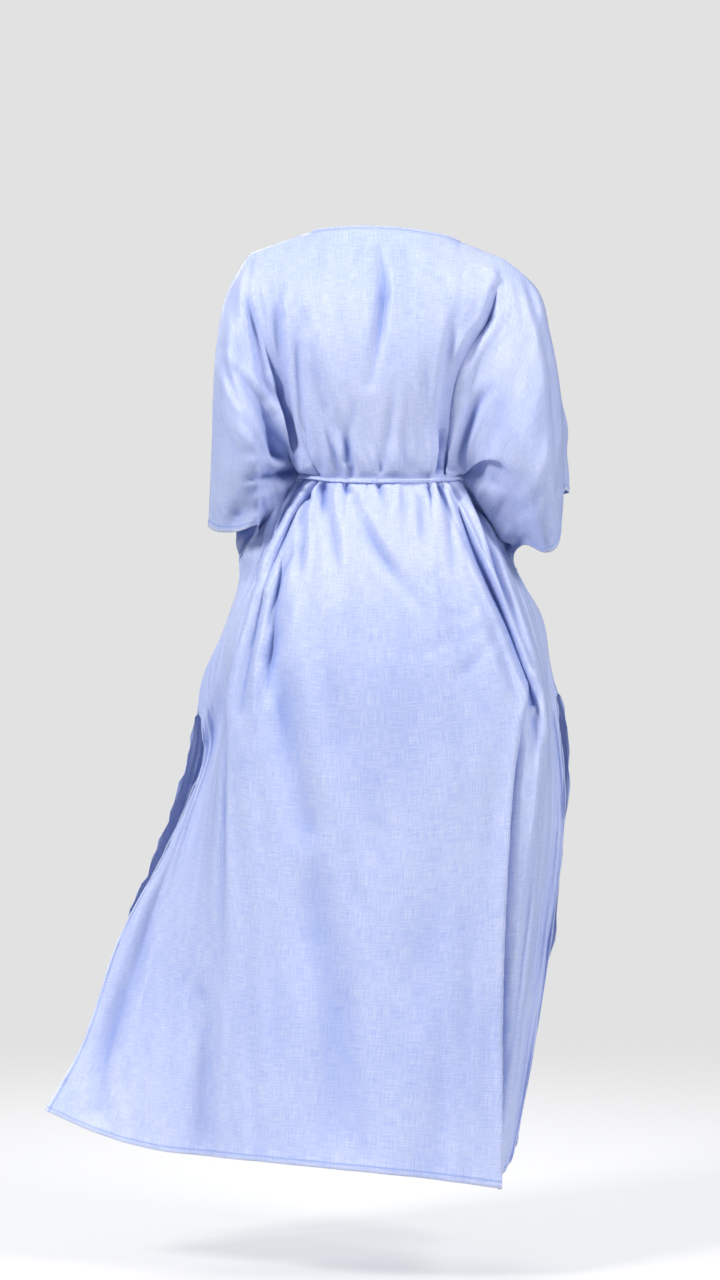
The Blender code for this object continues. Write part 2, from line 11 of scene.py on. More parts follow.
import bpy
import numpy as np
from bpy.props import FloatProperty, FloatVectorProperty, PointerProperty
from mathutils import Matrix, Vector


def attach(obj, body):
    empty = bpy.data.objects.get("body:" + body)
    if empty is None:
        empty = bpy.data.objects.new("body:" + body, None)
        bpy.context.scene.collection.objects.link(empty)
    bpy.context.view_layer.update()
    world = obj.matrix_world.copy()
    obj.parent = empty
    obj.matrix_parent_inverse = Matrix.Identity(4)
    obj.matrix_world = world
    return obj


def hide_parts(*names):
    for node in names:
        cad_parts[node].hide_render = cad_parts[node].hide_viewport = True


bl_info = {
    "name": "Waisted kaftan",
    "version": (1, 0, 0),
    "blender": (4, 5, 0),
    "location": "3D View > Sidebar > Kaftan",
    "description": "Builds the cloth, hems, stitching and tie of a waisted chambray kaftan",
    "category": "Object",
}

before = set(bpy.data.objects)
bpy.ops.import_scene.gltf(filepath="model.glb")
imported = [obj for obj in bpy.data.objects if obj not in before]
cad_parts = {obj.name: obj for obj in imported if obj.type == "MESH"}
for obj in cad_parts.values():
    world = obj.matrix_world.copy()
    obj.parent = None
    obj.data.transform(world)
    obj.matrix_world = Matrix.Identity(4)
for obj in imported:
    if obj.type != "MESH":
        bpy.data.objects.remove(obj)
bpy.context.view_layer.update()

CM = 0.01
FACES = ("back", "front")
OTHER = {"back": "front", "front": "back"}

# The camera that matches the picture: its place, its lens, and the metres that a pixel shows on the garment's middle.
CAMERA_X = 0.03
CAMERA_AWAY = 4.5
CAMERA_Z = -0.566
LENS_MM = 90.0
SENSOR_MM = 36.0
PIXEL = 0.0014
PICTURE_MIDDLE = (360.0, 640.0)

# Cloth measures. `across` is 0 at the middle, SIDE where body turns to sleeve or side fall, and EDGE at the cuff and
# the slit. `drop` is 0 at the shoulder line, WAIST at the waist, SLIT where the sewn side ends, LENGTH at the hem.
SIDE = 30.0
EDGE = 65.0
WAIST = 38.0
SLIT = 70.0
LENGTH = 137.0

# Half the neck opening's width, how high and how far out each panel's neck edge is in the middle, the powers that
# round it on the way there, outwards and downwards, and the height of the opening's two corners.
NECK_HALF = 11.0
NECK_RISE = {"back": 0.8, "front": -8.0}
NECK_REACH = {"back": 5.0, "front": -8.5}
NECK_ROUND_OUT = 0.75
NECK_ROUND_DOWN = 0.8
CORNER_LEFT = 0.4
CORNER_RIGHT = -0.6

# Where the neck's corners fall across the cloth.
NECK_CORNERS = (-17.95, 15.05)

# The drop of the tie, the middle of each side's buttonhole across the cloth, and the worked slot within it.
TIE_DROP = 38.1
BUTTONHOLE_MIDDLE = 31.5
SLOT = {"across": (31.4, 32.6), "drop": (37.5, 38.3)}


def table(names, *rows):
    """A short table as one array for each named column."""
    return dict(zip(names.split(), np.array(rows, float).T))


def columns(rows, *names):
    """Some columns of a table side by side."""
    return np.stack([rows[name] for name in names], axis=1)


# The middle of each panel, from the neck edge to the hem.
MIDDLE = table(
    "drop back_y back_z front_y front_z",
    (0, 5.0, 0.9, -8.5, -8.0),
    (6, 8.3, -5.1, -10.6, -12.5),
    (14, 10.5, -12.8, -12.0, -17.6),
    (24, 10.8, -21.8, -11.8, -25.0),
    (33, 9.3, -29.8, -10.0, -31.2),
    (38, 8.5, -34.3, -9.0, -34.5),
    (43, 10.6, -38.6, -10.8, -38.8),
    (52, 14.0, -46.8, -12.5, -47.2),
    (64, 16.3, -58.4, -13.5, -58.8),
    (78, 17.0, -72.2, -14.2, -72.5),
    (92, 17.3, -85.2, -15.0, -86.2),
    (108, 18.0, -99.8, -16.0, -101.2),
    (122, 19.0, -113.0, -17.0, -113.8),
    (137, 20.0, -128.0, -18.0, -127.4),
)

# Where body turns to sleeve above the waist, and to the side fall below it. `dip` sets the side fall back.
LEFT_SIDE = table(
    "drop x z back_y front_y back_dip front_dip",
    (0, 18.2, -2.2, 0.0, 0.0, 0.0, 0.0),
    (6, 17.9, -6.9, 5.0, -5.0, 0.0, 0.0),
    (14, 16.8, -14.3, 6.0, -7.0, 0.0, 0.0),
    (24, 14.7, -22.7, 5.0, -6.5, 0.0, 0.0),
    (33, 12.6, -30.0, 3.0, -3.0, 0.0, 0.0),
    (38, 11.4, -33.9, 1.0, 0.82, 0.0, 0.0),
    (43, 12.8, -37.0, 2.5, -3.2, 0.0, 0.0),
    (52, 16.6, -45.4, 5.0, -6.6, -1.0, 0.5),
    (64, 20.1, -55.6, 7.5, -7.5, -2.0, 1.0),
    (78, 22.3, -68.4, 9.5, -9.5, -4.0, 0.0),
    (92, 22.5, -83.2, 10.5, -10.5, -4.0, -1.0),
    (108, 22.8, -98.0, 11.0, -12.0, -2.5, -1.0),
    (122, 23.2, -112.8, 12.0, -13.0, -0.5, -1.0),
    (137, 23.5, -127.2, 12.5, -14.0, 0.0, -1.0),
)
RIGHT_SIDE = table(
    "drop x z back_y front_y back_dip front_dip",
    (0, -17.1, -3.1, 0.0, 0.0, 0.0, 0.0),
    (6, -16.8, -6.6, 5.0, -5.0, 0.0, 0.0),
    (14, -14.8, -13.6, 6.0, -7.0, 0.0, 0.0),
    (24, -12.2, -22.0, 5.0, -6.5, 0.0, 0.0),
    (33, -11.0, -29.6, 3.0, -3.0, 0.0, 0.0),
    (38, -11.2, -33.9, 1.0, 0.82, 0.0, 0.0),
    (43, -12.6, -37.0, 2.5, -3.8, 0.0, 0.0),
    (52, -16.3, -45.4, 5.0, -7.0, -1.0, 0.5),
    (64, -20.2, -55.4, 8.0, -7.5, -2.0, 1.0),
    (78, -22.6, -67.0, 10.0, -9.0, -4.0, 0.0),
    (92, -22.0, -80.4, 11.5, -10.0, -5.0, -1.0),
    (108, -20.2, -98.0, 13.0, -11.0, -5.0, -1.0),
    (122, -18.2, -113.6, 14.5, -12.0, -5.0, -1.0),
    (137, -16.6, -131.2, 16.0, -12.5, -5.0, -1.0),
)

# The panels' outer edges: cuff above the waist, sewn side below it, then the open slit down to the hem.
LEFT_EDGE = table(
    "drop back_x back_y back_z front_x front_y front_z",
    (0, 24.5, -6.0, -40.5, 24.5, -6.0, -40.5),
    (6, 23.2, -2.0, -41.3, 23.8, -9.0, -40.0),
    (14, 20.4, 1.0, -41.4, 22.4, -12.0, -39.5),
    (24, 17.6, 2.5, -40.3, 20.8, -12.0, -40.6),
    (33, 18.6, -1.5, -42.4, 20.8, -9.4, -43.0),
    (38, 20.2, -5.0, -45.0, 20.2, -5.2, -45.0),
    (43, 20.2, -5.2, -48.0, 20.2, -5.4, -48.0),
    (52, 22.2, -4.6, -54.6, 22.2, -4.8, -54.6),
    (64, 25.5, -3.0, -62.8, 25.5, -3.2, -62.8),
    (78, 25.3, -2.0, -73.6, 27.4, -4.6, -73.4),
    (92, 30.4, 0.0, -86.0, 31.6, -2.8, -85.4),
    (108, 37.0, 1.5, -98.8, 36.8, -1.4, -98.2),
    (122, 41.4, 3.0, -111.9, 40.6, -0.8, -111.2),
    (137, 46.8, 5.0, -122.0, 45.4, 0.0, -121.4),
)
RIGHT_EDGE = table(
    "drop back_x back_y back_z front_x front_y front_z",
    (0, -25.8, -3.0, -35.6, -25.8, -3.0, -35.6),
    (6, -25.5, -1.0, -39.0, -26.8, -6.0, -35.6),
    (14, -24.9, 2.0, -43.0, -25.9, -10.0, -35.8),
    (24, -22.8, 3.0, -44.4, -23.8, -13.0, -37.0),
    (33, -20.0, -1.8, -43.2, -21.4, -12.0, -40.8),
    (38, -18.9, -5.6, -44.6, -18.9, -5.8, -44.6),
    (43, -19.7, -7.0, -47.4, -19.7, -7.2, -47.4),
    (52, -22.8, -6.2, -52.9, -22.8, -6.4, -52.9),
    (64, -24.1, -4.4, -60.4, -24.1, -4.6, -60.4),
    (78, -25.6, -2.0, -70.3, -26.6, -4.2, -69.4),
    (92, -25.8, 0.0, -81.8, -26.2, -2.6, -80.6),
    (108, -23.7, 2.0, -99.3, -24.2, -1.4, -98.6),
    (122, -21.4, 3.0, -113.4, -21.7, -1.4, -111.8),
    (137, -18.5, 4.0, -128.0, -19.2, -1.0, -127.0),
)

# The shoulder line along each arm. `out` is how far along it, from the body to the cuff.
LEFT_ARM = table(
    "out x y z",
    (0.0, 18.2, 0.0, -2.2),
    (0.14, 21.1, 0.4, -6.7),
    (0.38, 23.1, 1.0, -15.7),
    (0.68, 23.7, -1.0, -27.4),
    (1.0, 24.5, -6.0, -40.5),
)
RIGHT_ARM = table(
    "out x y z",
    (0.0, -17.1, 0.0, -3.1),
    (0.16, -21.6, 0.3, -7.0),
    (0.40, -23.9, 0.5, -15.0),
    (0.64, -25.2, 0.0, -22.6),
    (1.0, -25.8, -3.0, -35.6),
)

# The line from the buttonhole out to the foot of the cuff, under each arm.
LEFT_UNDERARM = table(
    "out x back_y front_y z",
    (0.0, 11.4, 1.0, 0.82, -33.9),
    (0.45, 15.4, -0.6, -8.5, -38.6),
    (1.0, 20.2, -5.0, -5.2, -45.0),
)
RIGHT_UNDERARM = table(
    "out x back_y front_y z",
    (0.0, -11.2, 1.0, 0.82, -33.9),
    (0.45, -14.8, -1.8, -9.0, -38.0),
    (1.0, -18.9, -5.6, -5.8, -44.6),
)

# The gathers at the tie: where each stands across the cloth, its height and its reach up and down.
BACK_GATHERS = table(
    "across high up down",
    (28.0, 0.7, 12, 22),
    (24.2, 0.6, 16, 16),
    (20.0, 0.8, 22, 14),
    (15.2, 0.5, 14, 12),
    (10.2, 0.6, 18, 16),
    (5.6, 0.4, 9, 8),
    (0.8, 0.6, 14, 10),
    (-4.6, 0.5, 18, 12),
    (-10.0, 0.6, 12, 14),
    (-15.0, 0.5, 16, 10),
    (-19.4, 0.7, 14, 16),
    (-23.6, 0.6, 18, 18),
    (-27.6, 0.7, 14, 22),
)
FRONT_GATHERS = table(
    "across high up down",
    (26.2, 0.35, 14, 20),
    (22.6, 0.6, 18, 14),
    (18.4, 0.5, 12, 18),
    (13.6, 0.7, 20, 12),
    (8.6, 0.5, 14, 16),
    (3.8, 0.6, 10, 20),
    (-1.6, 0.5, 16, 12),
    (-6.6, 0.7, 20, 14),
    (-11.6, 0.5, 12, 18),
    (-16.6, 0.6, 16, 12),
    (-21.4, 0.6, 20, 16),
    (-25.8, 0.35, 12, 22),
)
GATHERS = {"back": BACK_GATHERS, "front": FRONT_GATHERS}

# The tables of each side, 1 for the left, as worn, and -1 for the right: side line, outer edge, arm and underarm.
WINGS = {
    1: (LEFT_SIDE, LEFT_EDGE, LEFT_ARM, LEFT_UNDERARM),
    -1: (RIGHT_SIDE, RIGHT_EDGE, RIGHT_ARM, RIGHT_UNDERARM),
}

# How far the sleeve stands out behind and before the arm, and away from the body.
SLEEVE_BULGE = {"back": 4.0, "front": -4.0}
SLEEVE_SPREAD = {"back": 0.2, "front": 1.6}

# The drop at which the underarm line's curve has run out.
UNDERARM_END = 64.0

# The two panels' middles stand this far apart where their sides are sewn.
SEWN_APART = 0.26

# The power that moves the deepest place of a side fall's dip towards the body.
DIP_LEAN = 0.7

# How far each side fall hangs below a straight line at the hem, and the drop from which it does.
HEM_SAG = 1.4
HEM_SAG_START = 100.0

# How far down the neck's hollow is felt.
HANG = 14.0

# How far round each side the body's sections reach, above the hips and below them, and the drops between.
ARC_ABOVE = math.radians(62)
ARC_BELOW = math.radians(76)
ARC_TURNS = (50, 80)

# Where the sections are worked out: points across the body, and shares of the way from its side out to the edge.
BODY_STATIONS = 13
STATIONS = (0.18, 0.36, 0.54, 0.72, 0.86, 1.0)

# The gathers: the share that is left of them under the tie, how far above and below it they have risen, and how far
# from it they begin to run out.
GATHER_PRESSED = 0.15
GATHER_RISE = (1.3, 4.0)
GATHER_FULL = 2.0

# Creases of the back, each through four points of the picture, in pixels. `wide` is its half width at both ends
# and `deep` its depth at start, middle and end, in centimetres. A ridge has a negative depth. `lean` makes the
# right-hand side steeper, or the left-hand one where it is negative. `soft` is 2 for a round bed, 1 for a sharp one.
CREASE_COLUMNS = "x0 y0 x1 y1 x2 y2 x3 y3 wide0 wide1 deep0 deep1 deep2 lean soft"
UPPER_BACK = table(
    CREASE_COLUMNS,
    (243, 262, 244, 320, 262, 400, 300, 470, 0.9, 0.8, -0.3, -0.35, -0.3, 0, 2),
    (251, 261, 248, 289, 251, 314, 266, 368, 0.5, 0.6, 0.15, 0.35, 0.2, 0, 1.6),
    (254, 268, 251, 289, 262, 335, 272, 385, 0.6, 0.6, -0.15, -0.3, -0.2, 0, 2),
    (261, 328, 271, 371, 281, 421, 303, 472, 0.45, 0.5, 0.1, 0.8, 0.9, -0.6, 1.3),
    (277, 282, 279, 348, 290, 418, 303, 465, 1.0, 0.7, 0.2, 0.6, 0.5, 0, 1.8),
    (283, 300, 288, 368, 303, 439, 315, 470, 0.7, 0.6, -0.2, -0.35, -0.3, 0, 2),
    (303, 311, 296, 357, 304, 439, 317, 472, 0.7, 0.6, 0.1, 0.4, 0.6, -0.3, 1.5),
    (310, 354, 318, 382, 333, 432, 345, 470, 1.5, 1.1, 0.1, 0.45, 0.4, 0, 2),
    (327, 405, 332, 425, 340, 450, 346, 471, 0.6, 0.5, 0.0, -0.25, -0.25, 0, 2),
    (347, 386, 351, 411, 349, 436, 346, 460, 0.8, 0.5, 0.05, 0.25, 0.2, 0, 2),
    (379, 246, 385, 282, 381, 322, 371, 382, 0.8, 0.9, 0.25, 0.6, 0.2, 0.2, 1.8),
    (366, 236, 361, 249, 357, 258, 354, 265, 0.4, 0.4, 0.2, 0.2, 0.0, 0, 1.5),
    (393, 358, 394, 390, 390, 430, 383, 467, 0.9, 0.7, 0.05, 0.3, 0.25, 0, 2),
    (430, 340, 428, 370, 430, 400, 434, 430, 0.8, 0.8, 0.0, 0.25, 0.1, 0, 2),
    (450, 305, 452, 340, 442, 408, 438, 470, 0.9, 0.7, 0.05, 0.4, 0.9, 0, 1.6),
    (500, 280, 492, 318, 461, 375, 448, 470, 0.7, 0.9, 0.3, 1.1, 1.1, 0.3, 1.3),
    (484, 268, 493, 272, 500, 288, 495, 310, 0.7, 0.6, -0.15, -0.35, -0.2, 0, 2),
)
SLEEVES = table(
    CREASE_COLUMNS,
    (503, 280, 504, 290, 504, 300, 503, 308, 0.5, 0.5, 0.1, 0.25, 0.05, 0, 2),
    (518, 285, 520, 300, 521, 315, 522, 330, 0.6, 0.5, 0.1, 0.25, 0.1, 0, 2),
    (528, 280, 542, 325, 554, 380, 560, 490, 0.5, 0.6, 0.2, 0.5, 0.4, 0.3, 1.5),
    (490, 388, 478, 402, 468, 430, 456, 468, 0.8, 0.5, 0.1, 0.6, 0.7, 0, 1.6),
    (472, 486, 486, 495, 499, 504, 511, 513, 0.6, 0.8, -0.1, -0.2, -0.1, 0, 2),
    (466, 486, 478, 502, 489, 516, 509, 545, 0.6, 0.7, 0.7, 0.8, 0.6, 0.6, 1.3),
    (236, 369, 256, 394, 263, 408, 276, 454, 0.5, 0.8, 0.2, 0.6, 1.0, 0, 1.4),
    (268, 415, 280, 437, 290, 455, 300, 470, 0.6, 0.5, 0.2, 0.7, 0.8, 0, 1.4),
    (270, 432, 276, 450, 284, 460, 292, 466, 0.7, 0.5, 0.2, 0.35, 0.2, 0, 2),
    (228, 355, 262, 395, 275, 418, 300, 465, 0.9, 0.6, -0.2, -0.5, -0.4, 0, 2),
    (247, 480, 270, 475, 290, 471, 298, 470, 0.5, 0.7, 0.1, 0.5, 0.8, 0, 1.5),
    (262, 506, 264, 514, 262, 520, 258, 527, 0.8, 0.8, 0.3, 0.8, 0.6, 0, 1.8),
    (236, 505, 236, 511, 235, 516, 234, 520, 0.8, 0.8, 0.1, 0.3, 0.1, 0, 2),
    (221, 346, 226, 372, 234, 394, 239, 404, 0.5, 0.5, 0.1, 0.25, 0.1, 0, 2),
)
UPPER_SKIRT = table(
    CREASE_COLUMNS,
    (290, 490, 272, 520, 257, 550, 244, 578, 0.5, 0.6, 0.2, 0.25, 0.1, 0, 1.6),
    (316, 482, 287, 524, 260, 602, 236, 716, 0.35, 0.7, 0.5, 0.7, 0.05, 0, 1.5),
    (262, 600, 256, 625, 249, 655, 239, 708, 0.8, 1.1, 0.3, 0.45, 0.2, 0, 2),
    (304, 478, 280, 518, 250, 584, 223, 690, 0.35, 0.6, 0.8, 1.1, 0.2, 0, 1.3),
    (298, 546, 284, 566, 273, 612, 264, 700, 0.5, 0.9, 0.2, 0.6, 0.02, 0, 1.7),
    (288, 510, 273, 556, 262, 620, 257, 690, 0.7, 1.1, -0.2, -0.6, -0.1, 0.4, 1.8),
    (276, 560, 268, 600, 262, 650, 268, 725, 1.0, 1.6, 0.1, 0.6, 0.05, -0.2, 1.8),
    (232, 650, 222, 700, 218, 750, 212, 815, 0.9, 1.4, 0.0, 0.6, 0.1, 0, 1.8),
    (305, 492, 308, 495, 310, 498, 312, 500, 0.4, 0.4, 0.5, 0.5, 0.1, 0, 1.5),
    (305, 520, 302, 544, 300, 560, 298, 576, 0.5, 0.6, 0.2, 0.35, 0.1, 0, 1.8),
    (290, 545, 293, 544, 296, 543, 298, 542, 0.3, 0.3, 0.15, 0.2, 0.1, 0, 1.5),
    (284, 564, 276, 596, 272, 624, 264, 650, 0.8, 0.9, -0.1, -0.45, -0.1, 0, 2),
    (282, 590, 281, 615, 276, 640, 264, 666, 1.2, 1.0, 0.1, 0.5, 0.1, 0, 2),
    (264, 690, 268, 703, 271, 717, 274, 730, 0.7, 0.7, -0.05, -0.3, -0.05, 0, 2),
    (263, 600, 260, 640, 257, 680, 255, 720, 0.8, 0.8, -0.1, -0.4, -0.1, 0, 2),
    (324, 486, 330, 520, 336, 560, 338, 596, 0.7, 0.9, 0.5, 0.35, 0.1, 0, 1.8),
    (345, 483, 347, 487, 349, 491, 350, 495, 0.5, 0.4, 0.5, 0.4, 0.05, 0, 1.5),
    (350, 492, 374, 540, 400, 578, 426, 610, 0.9, 1.0, 0.3, 0.55, 0.1, 0.2, 1.8),
    (380, 484, 383, 492, 386, 500, 388, 508, 0.5, 0.4, 0.5, 0.3, 0.05, 0, 1.6),
    (424, 500, 424, 520, 424, 540, 424, 560, 0.9, 0.9, 0.2, 0.3, 0.1, 0, 2),
    (425, 570, 427, 577, 429, 585, 430, 592, 0.4, 0.4, 0.15, 0.2, 0.05, 0, 1.6),
    (428, 486, 430, 491, 433, 496, 436, 500, 0.4, 0.4, 0.4, 0.3, 0.05, 0, 1.6),
    (440, 486, 448, 514, 452, 534, 456, 566, 0.5, 0.7, 0.5, 0.5, 0.1, 0, 1.6),
    (455, 492, 479, 556, 511, 626, 538, 700, 0.5, 0.7, 0.6, 1.1, 0.9, 0.3, 1.2),
    (530, 704, 534, 705, 538, 707, 542, 708, 0.4, 0.4, 0.1, 0.3, 0.1, 0, 1.8),
    (464, 500, 484, 556, 510, 612, 541, 700, 0.5, 0.6, -0.2, -0.3, -0.1, 0, 2),
    (466, 484, 484, 524, 506, 590, 535, 668, 0.35, 0.5, 0.7, 1.1, 0.3, 0, 1.5),
    (445, 612, 455, 616, 468, 612, 480, 604, 0.6, 0.6, 0.02, 0.1, 0.02, 0, 2),
    (494, 624, 478, 634, 470, 637, 462, 640, 0.7, 0.6, 0.05, 0.1, 0.02, 0, 2),
    (498, 632, 482, 656, 470, 668, 455, 680, 1.0, 0.9, 0.1, 0.16, 0.04, 0, 2),
    (395, 650, 425, 650, 440, 646, 450, 640, 1.0, 1.0, 0.02, 0.09, 0.02, 0, 2),
)
LOWER_SKIRT = table(
    CREASE_COLUMNS,
    (532, 685, 515, 775, 505, 900, 502, 1040, 0.5, 0.7, 0.1, 0.9, 0.8, -0.5, 1.3),
    (502, 1040, 502, 1080, 502, 1120, 502, 1158, 0.6, 0.6, 0.8, 0.8, 0.7, -0.5, 1.3),
    (548, 740, 544, 800, 532, 895, 510, 1077, 0.6, 0.6, 0.3, 0.5, 0.3, 0, 1.6),
    (533, 690, 536, 712, 537, 735, 536, 765, 0.5, 0.8, 0.1, 0.8, 0.1, 0, 1.6),
    (226, 685, 222, 770, 220, 870, 221, 995, 0.5, 0.9, 0.0, 0.9, 0.1, 0.4, 1.5),
    (224, 672, 215, 715, 206, 770, 192, 840, 0.5, 1.3, 0.0, 0.8, 0.2, 0, 2),
    (549, 655, 554, 706, 558, 745, 558, 815, 0.5, 1.0, 0.1, 0.8, 0.2, 0, 2),
    (180, 979, 195, 990, 204, 994, 212, 996, 0.5, 0.5, 0.15, 0.35, 0.1, 0, 1.6),
    (206, 1005, 206, 1053, 204, 1084, 203, 1140, 1.2, 1.2, 0.15, 0.4, 0.2, 0, 2),
    (165, 870, 141, 948, 106, 1053, 96, 1112, 0.9, 1.5, 0.1, 0.7, 0.4, 0, 1.7),
    (124, 1059, 124, 1075, 124, 1090, 124, 1105, 1.0, 1.0, 0.05, 0.25, 0.05, 0, 2),
    (345, 850, 352, 880, 358, 900, 366, 920, 0.9, 0.9, 0.1, 0.3, 0.1, 0, 2),
    (322, 640, 340, 700, 354, 770, 362, 840, 3.0, 3.4, 0.05, 0.45, 0.1, 0, 2),
    (270, 600, 276, 660, 288, 740, 305, 820, 1.6, 2.6, 0.05, 0.6, 0.3, 0, 2),
    (305, 800, 318, 880, 326, 980, 336, 1130, 2.2, 2.6, 0.1, 0.4, 0.2, 0, 2),
    (488, 596, 502, 634, 514, 668, 524, 706, 1.4, 1.2, 0.05, 0.5, 0.1, 0, 2),
    (310, 895, 335, 977, 347, 1040, 360, 1140, 2.6, 3.0, 0.1, 0.45, 0.25, 0, 2),
    (425, 766, 428, 765, 431, 763, 435, 762, 0.3, 0.3, 0.1, 0.2, 0.1, 0, 1.6),
)

# The fans of folds round the two pinches, above, beside and below the tie.
PINCHES = table(
    CREASE_COLUMNS,
    (276, 400, 284, 428, 293, 450, 302, 471, 0.35, 0.22, -0.2, -0.6, -0.5, 0, 1.8),
    (290, 430, 296, 444, 303, 458, 309, 472, 0.35, 0.22, -0.1, -0.6, -0.5, 0, 1.8),
    (298, 425, 303, 442, 310, 458, 318, 474, 0.3, 0.2, 0.2, 0.5, 0.3, 0, 1.4),
    (306, 436, 312, 450, 318, 462, 324, 474, 0.45, 0.3, -0.1, -0.4, -0.4, 0, 1.8),
    (322, 412, 331, 434, 340, 456, 348, 474, 0.4, 0.25, -0.1, -0.45, -0.5, 0, 1.6),
    (336, 420, 345, 440, 350, 456, 354, 474, 0.7, 0.4, 0.1, 0.4, 0.4, 0, 1.8),
    (372, 440, 376, 452, 379, 462, 381, 472, 0.5, 0.3, 0.05, 0.3, 0.3, 0, 1.6),
    (398, 440, 399, 452, 399, 462, 398, 472, 0.5, 0.3, -0.05, -0.3, -0.3, 0, 1.6),
    (428, 430, 430, 445, 431, 460, 431, 474, 0.45, 0.25, -0.1, -0.5, -0.4, 0, 1.8),
    (441, 430, 440, 445, 438, 458, 437, 472, 0.3, 0.2, 0.2, 0.7, 0.6, 0, 1.3),
    (447, 420, 446, 440, 443, 456, 442, 473, 0.35, 0.22, -0.1, -0.5, -0.5, 0, 1.8),
    (462, 400, 458, 424, 453, 448, 448, 470, 0.5, 0.25, -0.2, -0.6, -0.5, 0, 1.8),
    (240, 462, 262, 461, 282, 464, 298, 470, 0.9, 0.35, -0.1, -0.6, -0.4, 0, 1.8),
    (236, 480, 258, 479, 280, 476, 298, 473, 0.7, 0.3, 0.1, 0.8, 0.6, -0.4, 1.4),
    (246, 500, 262, 494, 282, 484, 298, 476, 1.0, 0.35, -0.2, -0.7, -0.4, 0, 1.8),
    (241, 566, 262, 528, 280, 500, 301, 476, 0.5, 0.25, -0.1, -0.6, -0.5, 0, 1.8),
    (296, 482, 279, 500, 263, 520, 249, 552, 1.2, 2.2, -0.8, -2.2, -1.2, 0, 2),
    (262, 560, 277, 530, 290, 506, 309, 480, 0.45, 0.22, 0.3, 0.7, 0.6, 0, 1.3),
    (274, 552, 284, 528, 296, 504, 312, 480, 0.45, 0.22, -0.2, -0.6, -0.5, 0, 1.8),
    (298, 540, 302, 516, 307, 498, 318, 480, 0.4, 0.22, 0.3, 0.6, 0.5, 0, 1.3),
    (308, 560, 309, 530, 312, 504, 320, 481, 0.5, 0.25, -0.1, -0.5, -0.5, 0, 1.8),
    (322, 540, 322, 520, 322, 500, 323, 483, 0.7, 0.35, 0.1, 0.5, 0.7, 0, 1.6),
    (334, 540, 334, 520, 336, 500, 340, 483, 0.8, 0.35, -0.1, -0.35, -0.45, 0, 1.8),
    (342, 520, 343, 508, 345, 495, 347, 482, 0.5, 0.25, 0.1, 0.5, 0.6, 0, 1.4),
    (366, 508, 367, 500, 367, 492, 367, 485, 0.35, 0.2, 0.05, 0.3, 0.4, 0, 1.5),
    (384, 512, 383, 502, 380, 492, 377, 483, 0.4, 0.25, 0.05, 0.4, 0.6, 0, 1.5),
    (396, 530, 397, 514, 398, 498, 398, 484, 0.9, 0.4, -0.05, -0.3, -0.4, 0, 1.8),
    (434, 530, 433, 512, 431, 496, 429, 482, 0.35, 0.22, 0.1, 0.6, 0.6, 0, 1.4),
    (452, 540, 446, 518, 439, 498, 434, 482, 0.5, 0.25, -0.1, -0.5, -0.5, 0, 1.8),
    (470, 554, 461, 532, 449, 505, 438, 482, 0.5, 0.25, 0.2, 0.8, 0.7, 0, 1.3),
    (482, 556, 470, 528, 458, 502, 445, 482, 0.45, 0.25, -0.2, -0.6, -0.5, 0, 1.8),
    (484, 548, 474, 522, 463, 500, 450, 483, 0.4, 0.22, 0.2, 0.6, 0.5, 0, 1.4),
    (504, 484, 490, 477, 476, 474, 462, 476, 1.2, 0.6, 0.2, 0.8, 0.8, 0, 2),
    (516, 502, 500, 494, 482, 486, 466, 480, 0.9, 0.4, -0.1, -0.3, -0.3, 0, 2),
)

